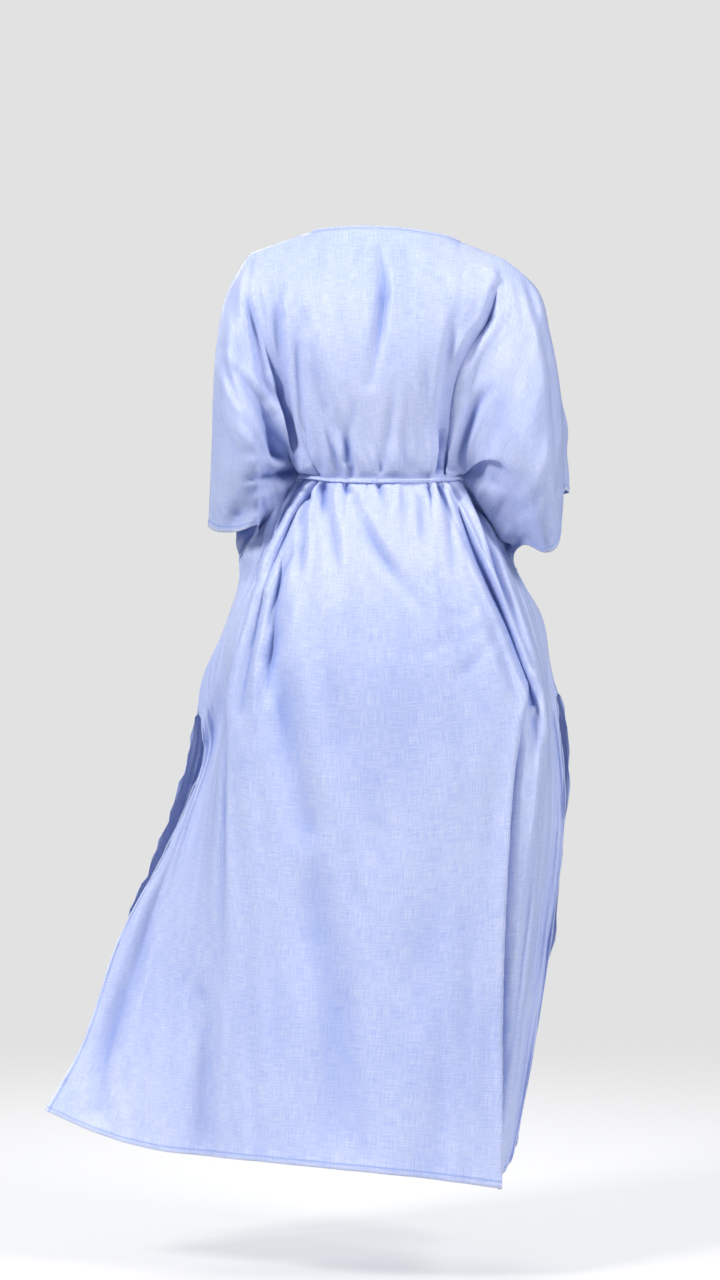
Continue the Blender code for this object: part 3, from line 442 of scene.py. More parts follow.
# Tucks of the back: sharp folds where the cloth on one side laps over the other. `proud` is 1 where the right-hand
# side lies on top and -1 where the left-hand one does. `lap` is the share of a full overlap at start, middle and
# end, `wide` its half width, and `high` and `low` how far the two sides stand out and in, in centimetres.
TUCKS = table(
    "x0 y0 x1 y1 x2 y2 x3 y3 wide lap0 lap1 lap2 high low proud",
    (462, 480, 477, 495, 490, 514, 509, 541, 0.7, 0.6, 1.1, 1.1, 0.9, 0.8, 1),
    (465, 471, 481, 460, 499, 461, 518, 478, 0.9, 0.8, 0.7, 0.05, 0.2, 1.1, 1),
    (466, 484, 484, 524, 506, 590, 535, 668, 0.4, 0.3, 0.4, 0.0, 0.1, 0.7, -1),
    (452, 488, 473, 534, 507, 612, 541, 706, 0.5, 0.2, 0.6, 0.2, 0.6, 0.9, 1),
    (300, 475, 283, 502, 267, 531, 250, 571, 0.4, 0.3, 0.6, 0.2, 0.4, 0.4, 1),
    (304, 478, 280, 518, 250, 584, 223, 690, 0.38, 0.4, 0.8, 0.1, 0.6, 0.6, -1),
    (316, 482, 287, 524, 260, 602, 236, 716, 0.38, 0.4, 0.8, 0.0, 0.6, 0.6, -1),
    (303, 500, 286, 537, 270, 597, 256, 670, 0.36, 0.3, 1.0, 0.0, 0.5, 0.6, -1),
    (298, 546, 284, 566, 273, 612, 264, 700, 0.5, 0.1, 0.9, 0.0, 0.5, 0.8, -1),
    (240, 630, 230, 660, 224, 690, 220, 720, 0.5, 0.2, 0.9, 0.4, 0.5, 0.8, -1),
    (261, 328, 271, 371, 281, 421, 303, 472, 0.45, 0.0, 0.9, 1.0, 0.6, 0.6, -1),
    (500, 284, 490, 320, 461, 375, 448, 470, 0.6, 0.2, 0.9, 1.1, 0.8, 0.9, 1),
    (272, 424, 281, 440, 291, 456, 300, 470, 0.55, 0.3, 1.0, 1.1, 0.7, 0.9, 1),
    (303, 420, 306, 440, 311, 456, 318, 473, 0.45, 0.2, 0.8, 1.0, 0.5, 0.6, -1),
    (532, 685, 514, 790, 504, 940, 501, 1210, 0.7, 0.1, 1.0, 0.8, 0.7, 0.8, -1),
    (285, 431, 291, 443, 297, 456, 303, 470, 0.3, 0.3, 1.0, 0.8, 0.4, 0.4, 1),
    (441, 432, 440, 444, 438, 456, 437, 470, 0.3, 0.3, 1.0, 0.8, 0.4, 0.4, -1),
)

# Creases of the front, which the picture doesn't show: here x is across the cloth and y down it, in centimetres.
FRONT_CREASES = table(
    CREASE_COLUMNS,
    (3, 6, 4, 16, 2, 27, 1, 37, 0.9, 0.7, 0.1, 0.6, 0.4, 0, 1.8),
    (-7, 5, -8, 15, -6, 26, -5, 37, 0.9, 0.7, 0.05, 0.5, 0.4, 0, 1.8),
    (12, 4, 13, 14, 11, 26, 9, 37, 0.8, 0.7, 0.1, 0.6, 0.5, 0.2, 1.6),
    (-14, 4, -15, 14, -13, 27, -12, 37, 0.8, 0.7, 0.1, 0.5, 0.5, -0.2, 1.6),
    (19, 6, 20, 16, 19, 27, 17, 37, 0.8, 0.6, 0.1, 0.6, 0.7, 0, 1.5),
    (-20, 6, -21, 17, -20, 28, -19, 37, 0.8, 0.6, 0.1, 0.5, 0.6, 0, 1.5),
    (30, 8, 30, 18, 28, 28, 26, 37, 0.9, 0.6, 0.2, 1.0, 0.9, 0.3, 1.4),
    (-30, 8, -30, 18, -28, 28, -26, 37, 0.9, 0.6, 0.2, 1.0, 0.9, -0.3, 1.4),
    (40, 10, 42, 20, 40, 29, 35, 36, 0.9, 0.7, 0.1, 0.6, 0.6, 0, 1.6),
    (-41, 9, -42, 19, -41, 28, -36, 36, 0.9, 0.7, 0.1, 0.7, 0.6, 0, 1.6),
    (51, 8, 51, 18, 49, 26, 44, 33, 0.9, 0.7, 0.1, 0.4, 0.2, 0, 2),
    (-50, 7, -50, 17, -49, 25, -45, 33, 0.9, 0.7, 0.1, 0.4, 0.2, 0, 2),
    (2, 39, 1, 52, 4, 66, 6, 80, 0.8, 1.2, 0.6, 0.5, 0.1, 0, 1.8),
    (-6, 39, -8, 50, -9, 62, -13, 76, 0.8, 1.2, 0.6, 0.6, 0.1, 0, 1.8),
    (10, 39, 12, 52, 15, 66, 17, 84, 0.8, 1.3, 0.5, 0.6, 0.15, 0, 1.8),
    (-14, 39, -17, 52, -19, 64, -21, 80, 0.8, 1.3, 0.5, 0.6, 0.15, 0, 1.8),
    (18, 39, 21, 54, 25, 70, 27, 90, 0.8, 1.2, 0.7, 0.9, 0.5, 0.3, 1.5),
    (-21, 39, -24, 55, -27, 70, -29, 92, 0.8, 1.2, 0.7, 0.9, 0.5, -0.3, 1.5),
    (27, 39, 33, 50, 38, 62, 42, 74, 0.7, 1.0, 0.8, 1.0, 0.6, 0, 1.4),
    (-27, 39, -33, 50, -38, 62, -42, 74, 0.7, 1.0, 0.8, 1.0, 0.6, 0, 1.4),
    (36, 42, 42, 52, 47, 62, 51, 72, 0.8, 0.9, 0.5, 0.8, 0.4, 0, 1.5),
    (-37, 42, -42, 51, -46, 61, -50, 71, 0.8, 0.9, 0.5, 0.8, 0.4, 0, 1.5),
    (24, 84, 26, 100, 27, 118, 29, 136, 1.4, 1.8, 0.3, 1.0, 0.9, 0, 1.7),
    (8, 78, 7, 96, 9, 116, 11, 136, 2.0, 2.4, 0.2, 0.9, 0.6, 0, 2),
    (-6, 80, -8, 98, -7, 118, -6, 136, 2.0, 2.3, 0.2, 0.9, 0.7, 0, 2),
    (-20, 84, -22, 100, -22, 118, -23, 136, 1.6, 2.0, 0.3, 1.0, 0.9, 0, 1.7),
    (40, 80, 43, 98, 46, 116, 48, 134, 1.2, 1.4, 0.2, 0.8, 0.8, 0, 1.6),
    (-40, 82, -43, 98, -45, 116, -46, 134, 1.2, 1.4, 0.2, 0.8, 0.8, 0, 1.6),
    (55, 78, 56, 95, 57, 112, 58, 130, 0.9, 1.1, 0.1, 0.5, 0.5, 0, 1.8),
    (-55, 78, -56, 95, -57, 112, -58, 130, 0.9, 1.1, 0.1, 0.5, 0.5, 0, 1.8),
)

# A crease: how far it is felt, in half widths, how much of its width a full lean takes from one side, and the low
# ridges along it, with their share of its depth, their place and their width, in half widths.
CREASE_REACH = 4.2
LEAN_SHARE = 0.7
RIDGE_SHARE = 0.22
RIDGE_PLACE = 1.8
RIDGE_WIDE = 0.7

# A tuck: how strongly a full overlap draws the cloth, and in half widths how far it is felt, how far the side on top
# and the side below stand out and in, and how sharply the one turns into the other.
TUCK_DRAW = 1.9
TUCK_REACH = 6
TUCK_TOP = 3.2
TUCK_UNDER = 2.2
TUCK_TURN = 0.45

# The points that a route is made of.
ROUTE_POINTS = 25

# The fine grid's lines: how many steps each stretch of the cloth has, across and down it.
ACROSS_STRETCHES = table(
    "start end steps",
    (-65, -64, 3), (-64, -54, 18), (-54, -20, 92), (-20, 20, 74), (20, 54, 92), (54, 64, 18), (64, 65, 3),
)
DROP_STRETCHES = table(
    "start end steps", (0.02, 2, 4), (2, 30, 38), (30, 48, 44), (48, 76, 36), (76, 136, 39), (136, 137, 3)
)

# How far the folds of the back stand out towards the picture's camera instead of squarely out of the cloth.
TOWARDS_CAMERA = 1.6

# How squarely the back faces that camera where the painted shade of its folds starts and where it is full.
FACING = (0.2, 0.55)

# Painted shade: the cloth in the bed of a fold or hollow is painted a deeper, darker blue where shade falls in it.
# How widely its level is taken, and how deep a full bed is in centimetres, once for the folds, whose painted shade
# grows with this power of their depth, and once for the broad hollows. Down the cloth the level is taken over this
# many times fewer steps.
FOLD_PASSES = 24
FOLD_DEEP = 0.5
FOLD_POWER = 1.4
HOLLOW_PASSES = 400
HOLLOW_DEEP = 1.8
FEWER_DOWN = 8

# Wide shallow waves of the hanging cloth: turns for each metre of cloth across and down, height and start.
WAVES = table(
    "across down high start",
    (7.0, 1.1, 0.10, 0.3),
    (11.0, -1.7, 0.07, 1.9),
    (17.0, 2.4, 0.05, 4.1),
    (5.0, -3.1, 0.08, 2.6),
    (23.0, 3.0, 0.03, 5.2),
    (13.0, 5.0, 0.04, 0.8),
)

# The free edges' ripple: turns for each centimetre along the edge, height and start, how far in from the edge it
# reaches, and how far below the slit's top it is full.
RIPPLES = table("turns high start", (0.11, 0.22, 0.4), (0.23, 0.16, 2.1), (0.41, 0.08, 4.4))
RIPPLE_REACH = 2.2
RIPPLE_START = 5.0

# Where the cloth is held: the drops over which it comes free of the shoulder line, and for the waves and the tucks the
# drops and the places across over which the sewn sides take hold of it.
SHOULDER_HOLD = (0.5, 4.0)
WAVE_HOLD = {"above": (26, 32), "below": (SLIT, SLIT + 8), "beside": (54, 63)}
TUCK_HOLD = {"above": (30, 36), "below": (SLIT - 4, SLIT), "beside": (59, 64)}

# Round a buttonhole the waves run out within an oval: its half sizes, and the shares of it where they end and start.
HOLE_OVAL = (7.0, 5.0)
HOLE_HOLD = (0.35, 1.2)

# The tie presses the folds: how far from it they are still flat and how far they are free, and the share that is
# left of them under it.
TIE_PRESS = (0.3, 1.5)
TIE_LEAVES = 0.4

# The cloth round the waist, as heights, distances below the tie and widths: a roll that blouses over the tie, a smaller
# one below it and the tie's groove. They run out between these places across.
WAIST_ROLLS = table("high below wide", (0.25, -2.4, 1.7), (0.15, 2.2, 1.5), (-0.5, 0.0, 0.8))
WAIST_ROLL_ENDS = (24, 31)

# The bend that runs down from each corner of the neck: its place across, its reach and how sharply that ends, the
# drops over which the evening sets in, and its passes.
BEND_PLACE = 16.5
BEND_REACH = 6.5
BEND_POWER = 4
BEND_DROPS = (0.3, 2.2)
BEND_PASSES = 120

# Where both panels' sewn sides come together: how far above the waist, how far about the slit's top, from where across.
JOIN_ABOVE = 0.6
JOIN_ABOUT = 0.5
JOIN_ACROSS = 63.0

# A sewn side counts as this much further from a free edge.
SEWN_FAR = 99.0

# The width of the step at a hem's inner line, along whose foot the stitching runs, and the puckers that it makes: their
# sines' angles for each centimetre down and across, and height.
HEM_SLOPE = 0.15
PUCKERS = table("down across", (5.1, 4.7), (7.9, -8.3))
PUCKER_HIGH = 0.02

# No place is pushed in further than this share of the room between the two panels, less this clearance.
ROOM_SHARE = 0.42
ROOM_CLEAR = 0.1

# Sides of the trims' and the stitches' sections, and points of the rings and paths.
TRIM_SIDES = 14
STITCH_SIDES = 4
BUTTONHOLE_POINTS = 32
KNOT_POINTS = 90
TIE_POINTS = 520

# The neck binding: how far it stands above the edge and how much less at the neck's corners, in half heights, how far
# along the edge the corners are felt, its half width, in half heights, and the grid's row that shows the cloth's slope.
BINDING_PROUD = 0.5
BINDING_CORNER_LESS = 0.9
BINDING_CORNER_REACH = 1.8
BINDING_WIDE = 0.62
BINDING_ROW = 3

# The tie's line on the cloth: how far across it reaches and in how many points, the cosine by which it hangs at the
# middle, with its half wave, and how much it lifts towards the sides and over which places across.
TIE_REACH = 29.0
TIE_STATIONS = 117
TIE_HANG = 0.35
TIE_HANG_HALF_WAVE = 62.0
TIE_LIFT = 0.45
TIE_LIFT_ACROSS = (12, 30)

# The tie lies on the proudest cloth this far above and below it, felt for along so many lines, and this far off it.
TIE_FEELS = 0.45
TIE_FEEL_LINES = 5
TIE_OFF = 0.0004

# The points of its route before the last smoothing.
TIE_COARSE = 130

# The tie's section: its depth in half heights, how deeply it is folded in and how far that fold turns along it.
TIE_DEEP = 0.9
TIE_FOLDED = 0.6
TIE_TWIST = 2.4

# The knot: how far from its middle the tie's ends go into it, in knot sizes, and how many times further out they
# leave the cloth. Then its curve's depth and height, how far before the tie's middle it sits, its cord in tie radii,
# how deeply that cord is folded in, and the direction that its section is held in.
KNOT_ENDS = 0.8
KNOT_FREE = 2.5
KNOT_DEEP = 1.3
KNOT_TALL = 0.8
KNOT_BEFORE = 0.0022
KNOT_CORD = 0.8
KNOT_FOLDED = 0.2
KNOT_UP = (0.12, 1.0, 0.05)

# One stitch: places along it, and there its half thickness and its height over the cloth, in thread radii.
STITCH = table(
    "share thick high", (0.0, 0.35, -1.0), (0.12, 0.9, -0.1), (0.5, 1.0, 0.25), (0.88, 0.9, -0.1), (1.0, 0.35, -1.0)
)

# Lines of stitches: their first drop on the cuffs, their drop at the neck and how far from its corners they end, and
# the points that lay out a line down the sides, along the hem and round the neck.
CUFF_TOP = 0.4
NECK_STITCH_DROP = 0.35
NECK_STITCH_ENDS = 1
SIDE_LINE_POINTS = 260
HEM_LINE_POINTS = 520
NECK_LINE_POINTS = 160

# The thread loop at the middle of the back: its place in metres, its points, how far round it goes to each side, in
# radians, and how much taller than deep it is.
LOOP_X = 0.0105
LOOP_POINTS = 21
LOOP_TURN = 2.0
LOOP_TALL = 1.3

# The weave, as turns of noise for each centimetre along a thread and across it: slubs and fine threads. Then what
# each and a broad cloud add to the tone, the tones between which blue turns to white, how much less rough the white
# is, the noise of cloud and crumples, and the heights of weave and crumples.
SLUBS = {"along": 0.35, "over": 9.0, "starts": (0.0, 5.0), "detail": 2.0}
THREADS = {"along": 1.5, "over": 26.0, "starts": (9.0, 13.0), "detail": 1.0}
SLUB_TONE = 0.55
THREAD_TONE = 0.3
CLOUD_TONE = 0.15
WHITE_TONES = (0.37, 0.63)
THREAD_GLOSS = 0.08
CLOUD_SCALE = 5.0
CRUMPLES = {"scale": 42.0, "detail": 3.0, "rough": 0.55}
BUMP_STRENGTH = 0.35
WEAVE_HEIGHT = 0.0003
CRUMPLE_HEIGHT = 0.0014

# The sewing thread's grain, and how much paler it is where it is pale. The paper's grain, its share and its tones.
THREAD_GRAIN = 900.0
THREAD_PALE = 1.15
PAPER_GRAIN = 60.0
PAPER_GRAIN_SHARE = 0.05
PAPER_TONES = ((0.3, 0.3, 0.3, 1.0), (0.28, 0.28, 0.28, 1.0))

# The hem's colours: worn pale at the fold of side and hem, where they also carry a painted highlight, and a painted
# shade line, a deeper blue at the foot of the hem's step where the turned cloth ends, with the distances from the edge
# over which each comes and goes.
WORN_AND_HIGHLIT_EDGE = (0.90, 0.93, 0.99, 1.0)
WORN_HIGHLIT_SIDE_REACH = (0.45, 0.12)
WORN_HIGHLIT_HEM_REACH = (0.3, 0.0)
WORN_HIGHLIT_SHARE = 0.85
HEM_STEP_SHADE = (0.26, 0.37, 0.72, 1.0)
HEM_STEP_SHADE_OUT = (1.0, 0.85)
HEM_STEP_SHADE_IN = (0.6, 0.75)
HEM_STEP_SHADE_SHARE = 0.6

# The floor: its rings, the power that crowds them towards the middle and their points, the distances at which it has
# faded out and is solid, and the strength of its own light.
FLOOR_RINGS = 24
FLOOR_CROWDING = 1.2
FLOOR_SIDES = 64
FLOOR_FADE = (2.6, 0.5)
FLOOR_GLOW = 0.73

# The lamps: name, the property that holds the power, size and place. All have one colour and point at one place.
LAMPS = (
    ("key_lamp", "key_power", 1.0, (2.9, 2.6, 2.4)),
    ("fill_lamp", "fill_power", 1.6, (-3.0, 2.4, 2.2)),
    ("front_lamp", "front_power", 2.0, (0.7, -3.4, 1.2)),
)
LAMP_COLOUR = (1.0, 0.975, 0.93)
LAMP_AIM = Vector((0.05, 0.0, -0.6))


def unit(vectors):
    """The same directions, one long."""
    return vectors / np.linalg.norm(vectors, axis=-1, keepdims=True)


def pairs(first, second):
    """Two measures side by side at every place of a grid."""
    return np.stack(np.broadcast_arrays(first, second), axis=-1)


def distances(path):
    """How far along a path each of its points lies."""
    return np.concatenate([[0], np.cumsum(np.linalg.norm(np.diff(path, axis=0), axis=1))])


def within(values, span):
    """Which values lie inside a span."""
    return (values > span[0]) & (values < span[1])


def ease(value, start, end):
    """0 at start and 1 at end, level at both: three squares less two cubes of the share of the way."""
    t = np.clip((value - start) / (end - start), 0, 1)
    return t * t * (3 - 2 * t)


def bell(value, middle, wide, power=2):
    """1 at the middle and less to both sides: e to minus the power of the distance over the width."""
    return np.exp(-(((value - middle) / wide) ** power))


def averaged(values, passes, axis):
    """Each place drawn half way to the middle of its two neighbours, this many times over. The ends stay."""
    soft = np.moveaxis(values.copy(), axis, 0)
    for _ in range(passes):
        soft[1:-1] = (soft[:-2] + 2 * soft[1:-1] + soft[2:]) / 4
    return np.moveaxis(soft, 0, axis)


def smooth(knots, values, at):
    """Cubic curve through the knots, its slope at each one taken from its two neighbours."""
    slope = np.gradient(values, knots, axis=0)
    index = np.clip(np.searchsorted(knots, at, side="right") - 1, 0, len(knots) - 2)
    span = knots[index + 1] - knots[index]
    t = (at - knots[index]) / span
    shape = t.shape + (1,) * (values.ndim - 1)
    t = t.reshape(shape)
    span = span.reshape(shape)
    rise = values[index + 1] - values[index]
    start = slope[index] * span
    end = slope[index + 1] * span
    return values[index] + t * start + t**2 * (3 * rise - 2 * start - end) + t**3 * (start + end - 2 * rise)


def over_shoulder(rows, face, names, drop):
    """Columns of a table at these drops, carried smoothly over the shoulder onto the other panel."""
    near, far = (columns(rows, *(name.format(side) for name in names)) for side in (face, OTHER[face]))
    knots = np.concatenate([[-rows["drop"][1]], rows["drop"]])
    return smooth(knots, np.concatenate([far[1:2], near]), drop)


def body_rows(face, across, drop):
    """Points of the body between its two side lines: for each drop an arc of an ellipse, its sine carried from side
    to side and its cosine out to the panel's middle, both less what they are at the arc's ends."""
    left = over_shoulder(LEFT_SIDE, face, ("x", "{}_y", "z"), drop)
    right = over_shoulder(RIGHT_SIDE, face, ("x", "{}_y", "z"), drop)
    middle = smooth(MIDDLE["drop"], columns(MIDDLE, face + "_y", face + "_z"), drop)
    turn = ARC_ABOVE + (ARC_BELOW - ARC_ABOVE) * ease(drop, *ARC_TURNS)[:, None]
    angle = across[None, :] / SIDE * turn
    depth = (np.cos(angle) - np.cos(turn)) / (1 - np.cos(turn))
    lean = (1 + np.sin(angle) / np.sin(turn))[:, :, None] / 2
    points = left[:, None, :] * lean + right[:, None, :] * (1 - lean)
    points[:, :, 1] += (middle[:, :1] - points[:, :, 1]) * depth
    points[:, :, 2] += (middle[:, 1:] - (left[:, 2:] + right[:, 2:]) / 2) * depth
    return points


def neck_line(face, x):
    """The top edge of a panel's middle, out and up: level shoulders, and between them the neck's hollow, one minus
    the square of the place in it, rounded by a power."""
    inside = np.clip(1 - (x / NECK_HALF) ** 2, 0, 1)
    ends = (RIGHT_SIDE["x"][0], -NECK_HALF, NECK_HALF, LEFT_SIDE["x"][0])
    shoulder = np.interp(x, ends, (RIGHT_SIDE["z"][0], CORNER_RIGHT, CORNER_LEFT, LEFT_SIDE["z"][0]))
    out = NECK_REACH[face] * inside**NECK_ROUND_OUT
    return np.stack([out, shoulder + NECK_RISE[face] * inside**NECK_ROUND_DOWN], axis=1)


def hung(face, points, drop):
    """The body with its first row moved to the neck line, and the rows under it moved less and less."""
    hang = np.clip(1 - drop / HANG, 0, 1)[:, None, None] ** 2
    points[:, :, 1:] += hang * (neck_line(face, points[0, :, 0]) - points[0, :, 1:])
    return points


def sag(rows, names, out):
    """How far the curve through a table's points lies from the straight line between its ends."""
    line = columns(rows, *names)
    return smooth(rows["out"], line, out) - smooth(np.array([0.0, 1.0]), line[[0, -1]], out)


def wing_rows(face, hand, out, drop):
    """Points from a side line out to the panel's edge, the sleeve above the waist and the side fall below it:
    straight from line to edge, with the curve of the shoulder line and of the underarm line each added where it is
    near. Half sines swell the sleeve, set the side fall back and let it hang lower at the hem."""
    side, edge, arm, underarm = WINGS[hand]
    inner = over_shoulder(side, face, ("x", "{}_y", "z"), drop)[:, None, :]
    outer = over_shoulder(edge, face, ("{}_x", "{}_y", "{}_z"), drop)[:, None, :]
    if face == "front":
        behind = over_shoulder(edge, "back", ("{}_y",), drop)
        sewn = (drop >= WAIST)[:, None]
        outer[:, :, 1] = np.where(sewn, np.minimum(outer[:, :, 1], behind - SEWN_APART), outer[:, :, 1])
    share = out[None, :, None]
    lift_arm = np.clip(1 - drop / WAIST, 0, 1)[:, None, None]
    lift_under = np.where(drop < WAIST, drop / WAIST, 1 - ease(drop, WAIST, UNDERARM_END))[:, None, None]
    points = inner * (1 - share) + outer * share
    points = points + sag(arm, ("x", "y", "z"), out) * lift_arm
    points = points + sag(underarm, ("x", face + "_y", "z"), out) * lift_under
    swell = np.sin(math.pi * np.clip(drop / WAIST, 0, 1))[:, None] * np.sin(math.pi * out)
    dip = smooth(side["drop"], side[face + "_dip"], drop)[:, None]
    points[:, :, 0] += SLEEVE_SPREAD[face] * swell * hand
    points[:, :, 1] += SLEEVE_BULGE[face] * swell
    points[:, :, 1] += dip * np.sin(math.pi * out**DIP_LEAN)
    points[:, :, 2] -= HEM_SAG * ease(drop, HEM_SAG_START, LENGTH)[:, None] * np.sin(math.pi * out)
    return points


def sheet(face, across, drop):
    """The panel's smooth form at every pair of cloth measures: cubic curves through its sections from edge to edge."""
    drop = np.concatenate([[0.0], drop])
    stations = np.array(STATIONS)
    body_stations = np.linspace(-SIDE, SIDE, BODY_STATIONS)
    out_at = SIDE + stations * (EDGE - SIDE)
    left = wing_rows(face, 1, stations, drop)
    right = wing_rows(face, -1, stations, drop)[:, ::-1]
    body = hung(face, body_rows(face, body_stations, drop), drop)
    knots = np.concatenate([-out_at[::-1], body_stations, out_at])
    rows = np.concatenate([right, body, left], axis=1)
    points = smooth(knots, rows.transpose(1, 0, 2), across).transpose(1, 0, 2)
    in_body = np.abs(across) <= SIDE
    points[:, in_body] = hung(face, points[:, in_body], drop)
    return points[1:]


def normals(points, face):
    """Unit directions out of the garment, from each point's neighbours."""
    out = unit(np.cross(np.gradient(points, axis=1), np.gradient(points, axis=0)))
    return out if face == "back" else -out


def gathered(face, across, drop):
    """Height of the gathers over the smooth form: each a hump across the cloth, one minus the square of the share of
    its half width to the power of 1.5, that runs out up and down and is pressed flat under the tie."""
    rows = GATHERS[face]
    half_widths = np.abs(np.gradient(rows["across"])) / 2
    below = (drop - WAIST)[:, None]
    risen = GATHER_PRESSED + (1 - GATHER_PRESSED) * ease(np.abs(below), *GATHER_RISE)
    height = np.zeros((len(drop), len(across)))
    for (place, high, up, down), half in zip(columns(rows, *rows), half_widths):
        hump = np.clip(1 - ((across - place) / half) ** 2, 0, 1) ** 1.5
        fade = (1 - ease(np.abs(below), GATHER_FULL, np.where(below < 0, up, down))) * risen
        height += high * hump * fade
    return height


def loose(across, drop, above, below, beside):
    """1 where the cloth is free to move, 0 at the shoulder line and at the sewn sides."""
    low = drop[:, None]
    sewn = ease(low, *above) * (1 - ease(low, *below)) * ease(np.abs(across), *beside)
    return ease(low, *SHOULDER_HOLD) * (1 - sewn)


def beside_buttonhole(across, drop):
    """1 at the buttonholes and 0 away from them."""
    off = (np.abs(across) - BUTTONHOLE_MIDDLE) / HOLE_OVAL[0], (drop[:, None] - WAIST) / HOLE_OVAL[1]
    return 1 - ease(np.hypot(*off), *HOLE_HOLD)


def waved(across, drop):
    """Height of the wide waves: a sum of sines over the cloth's two measures."""
    turns = 2 * math.pi * CM * (WAVES["across"] * across[None, :, None] + WAVES["down"] * drop[:, None, None])
    return (WAVES["high"] * np.sin(turns + WAVES["start"])).sum(axis=2)


def rippled(across, drop):
    """Height of the slits' ripple: a sum of sines along the edge, dying away towards the cloth's middle with the
    power of 1.5. The right-hand edge has the left-hand one's ripple upside down and turned end for end."""
    turns = 2 * math.pi * RIPPLES["turns"] * drop[:, None] + RIPPLES["start"]
    ripple = (RIPPLES["high"] * np.sin(turns)).sum(axis=1)[:, None]
    ripple = np.where(across > 0, ripple, -ripple[::-1])
    reach = np.clip(1 - (EDGE - np.abs(across)) / RIPPLE_REACH, 0, 1) ** 1.5
    return ripple * reach * ease(drop, SLIT, SLIT + RIPPLE_START)[:, None]


def drawn_in(across, drop):
    """Height of the cloth round the waist: a sum of bells over the drop, running out towards the sides."""
    below = (drop - TIE_DROP)[:, None]
    rolls = WAIST_ROLLS["high"] * bell(below, WAIST_ROLLS["below"], WAIST_ROLLS["wide"])
    return rolls.sum(axis=1)[:, None] * (1 - ease(np.abs(across), *WAIST_ROLL_ENDS))


def hemmed(across, drop, width, step):
    """Height of the turned hems at cuffs, slits and hem: a step at their inner line, with puckers, the sum of two
    sines of the cloth's measures."""
    to_side = EDGE - np.abs(across) + SEWN_FAR * within(drop, (WAIST, SLIT))[:, None]
    to_edge = np.minimum(to_side, (LENGTH - drop)[:, None])
    turns = PUCKERS["down"] * drop[:, None, None] + PUCKERS["across"] * across[None, :, None]
    inside = 1 - ease(to_edge, width - HEM_SLOPE, width)
    return inside * (step + PUCKER_HIGH * np.sin(turns).sum(axis=2))


def in_picture(points):
    """The pixel at which the matching camera sees each point: its offset from the axis, larger the nearer it is."""
    nearer = CAMERA_AWAY / (CAMERA_AWAY - points[..., 1]) / PIXEL
    across = PICTURE_MIDDLE[0] - (points[..., 0] - CAMERA_X) * nearer
    down = PICTURE_MIDDLE[1] - (points[..., 2] - CAMERA_Z) * nearer
    return np.stack([across, down], axis=-1)


def beside_route(knots, seen, reach):
    """The places near a smooth route through four knots: which they are, how far right of it each lies and how far
    past its ends, the route's direction there, and how far along it that is, from 0 to 1."""
    route = smooth(np.linspace(0, 1, len(knots)), knots, np.linspace(0, 1, ROUTE_POINTS))
    near = ((seen > route.min(axis=0) - reach) & (seen < route.max(axis=0) + reach)).all(axis=1)
    seen = seen[near]
    step = np.diff(route, axis=0)
    away = seen[:, None, :] - route[:-1]
    share = np.clip((away * step).sum(axis=2) / (step**2).sum(axis=1), 0, 1)
    off = away - share[:, :, None] * step
    nearest = (off**2).sum(axis=2).argmin(axis=1)
    pick = np.arange(len(seen))
    off = off[pick, nearest]
    along = unit(step)[nearest]
    right = off[:, 0] * along[:, 1] - off[:, 1] * along[:, 0]
    past = (off * along).sum(axis=1)
    return near, right, past, along, (nearest + share[pick, nearest]) / len(step)


def creased(rows, seen, scale):
    """Height of the creases: for each a bell-shaped bed across its route, e to minus the `soft` power of the
    distance in half widths, with a low ridge along both its sides."""
    flat = seen.reshape(-1, 2)
    height = np.zeros(len(flat))
    for row in columns(rows, *rows):
        wide0, wide1, deep0, deep1, deep2, lean, soft = row[8:]
        reach = CREASE_REACH * max(wide0, wide1) / scale
        near, right, past, _, along = beside_route(row[:8].reshape(4, 2), flat, reach)
        wide = (wide0 + (wide1 - wide0) * along) * (1 - LEAN_SHARE * lean * np.sign(right))
        share = np.hypot(right, past) * scale / wide
        deep = np.interp(along, (0, 0.5, 1), (deep0, deep1, deep2))
        height[near] -= deep * (np.exp(-(share**soft)) - RIDGE_SHARE * bell(share, RIDGE_PLACE, RIDGE_WIDE))
    return height.reshape(seen.shape[:-1])


def tucked(rows, seen, scale):
    """Height and sideways shift of the tucks. Beside each route the cloth is drawn over itself in an S: a place at
    distance s moves by -lap * s * exp(-s^2 / 2), in half widths, and one side stands out where the other sinks."""
    flat = seen.reshape(-1, 2)
    height = np.zeros(len(flat))
    shift = np.zeros((len(flat), 2))
    for row in columns(rows, *rows):
        wide, lap0, lap1, lap2, high, low, proud = row[8:]
        reach = TUCK_REACH * wide / scale
        near, right, past, direction, along = beside_route(row[:8].reshape(4, 2), flat, reach)
        share = right * scale / wide
        lap = np.interp(along, (0, 0.5, 1), (lap0, lap1, lap2)) * bell(past * scale, 0, wide)
        drawn = -TUCK_DRAW * lap * share * wide * np.exp(-(share**2) / 2)
        shift[near, 0] += drawn * direction[:, 1]
        shift[near, 1] -= drawn * direction[:, 0]
        on_top = share * proud
        rise = np.where(on_top > 0, high * bell(on_top, 0, TUCK_TOP), low * bell(on_top, 0, TUCK_UNDER))
        height[near] += lap * rise * np.tanh(on_top / TUCK_TURN)
    return height.reshape(seen.shape[:-1]), shift.reshape(seen.shape)


def evened(points, across, drop):
    """The neck's corners run down the cloth as a hard bend: there each row is averaged with its neighbours."""
    share = bell(np.abs(across), BEND_PLACE, BEND_REACH, BEND_POWER) * ease(drop, *BEND_DROPS)[:, None]
    return points + share[:, :, None] * (averaged(points, BEND_PASSES, 1) - points)


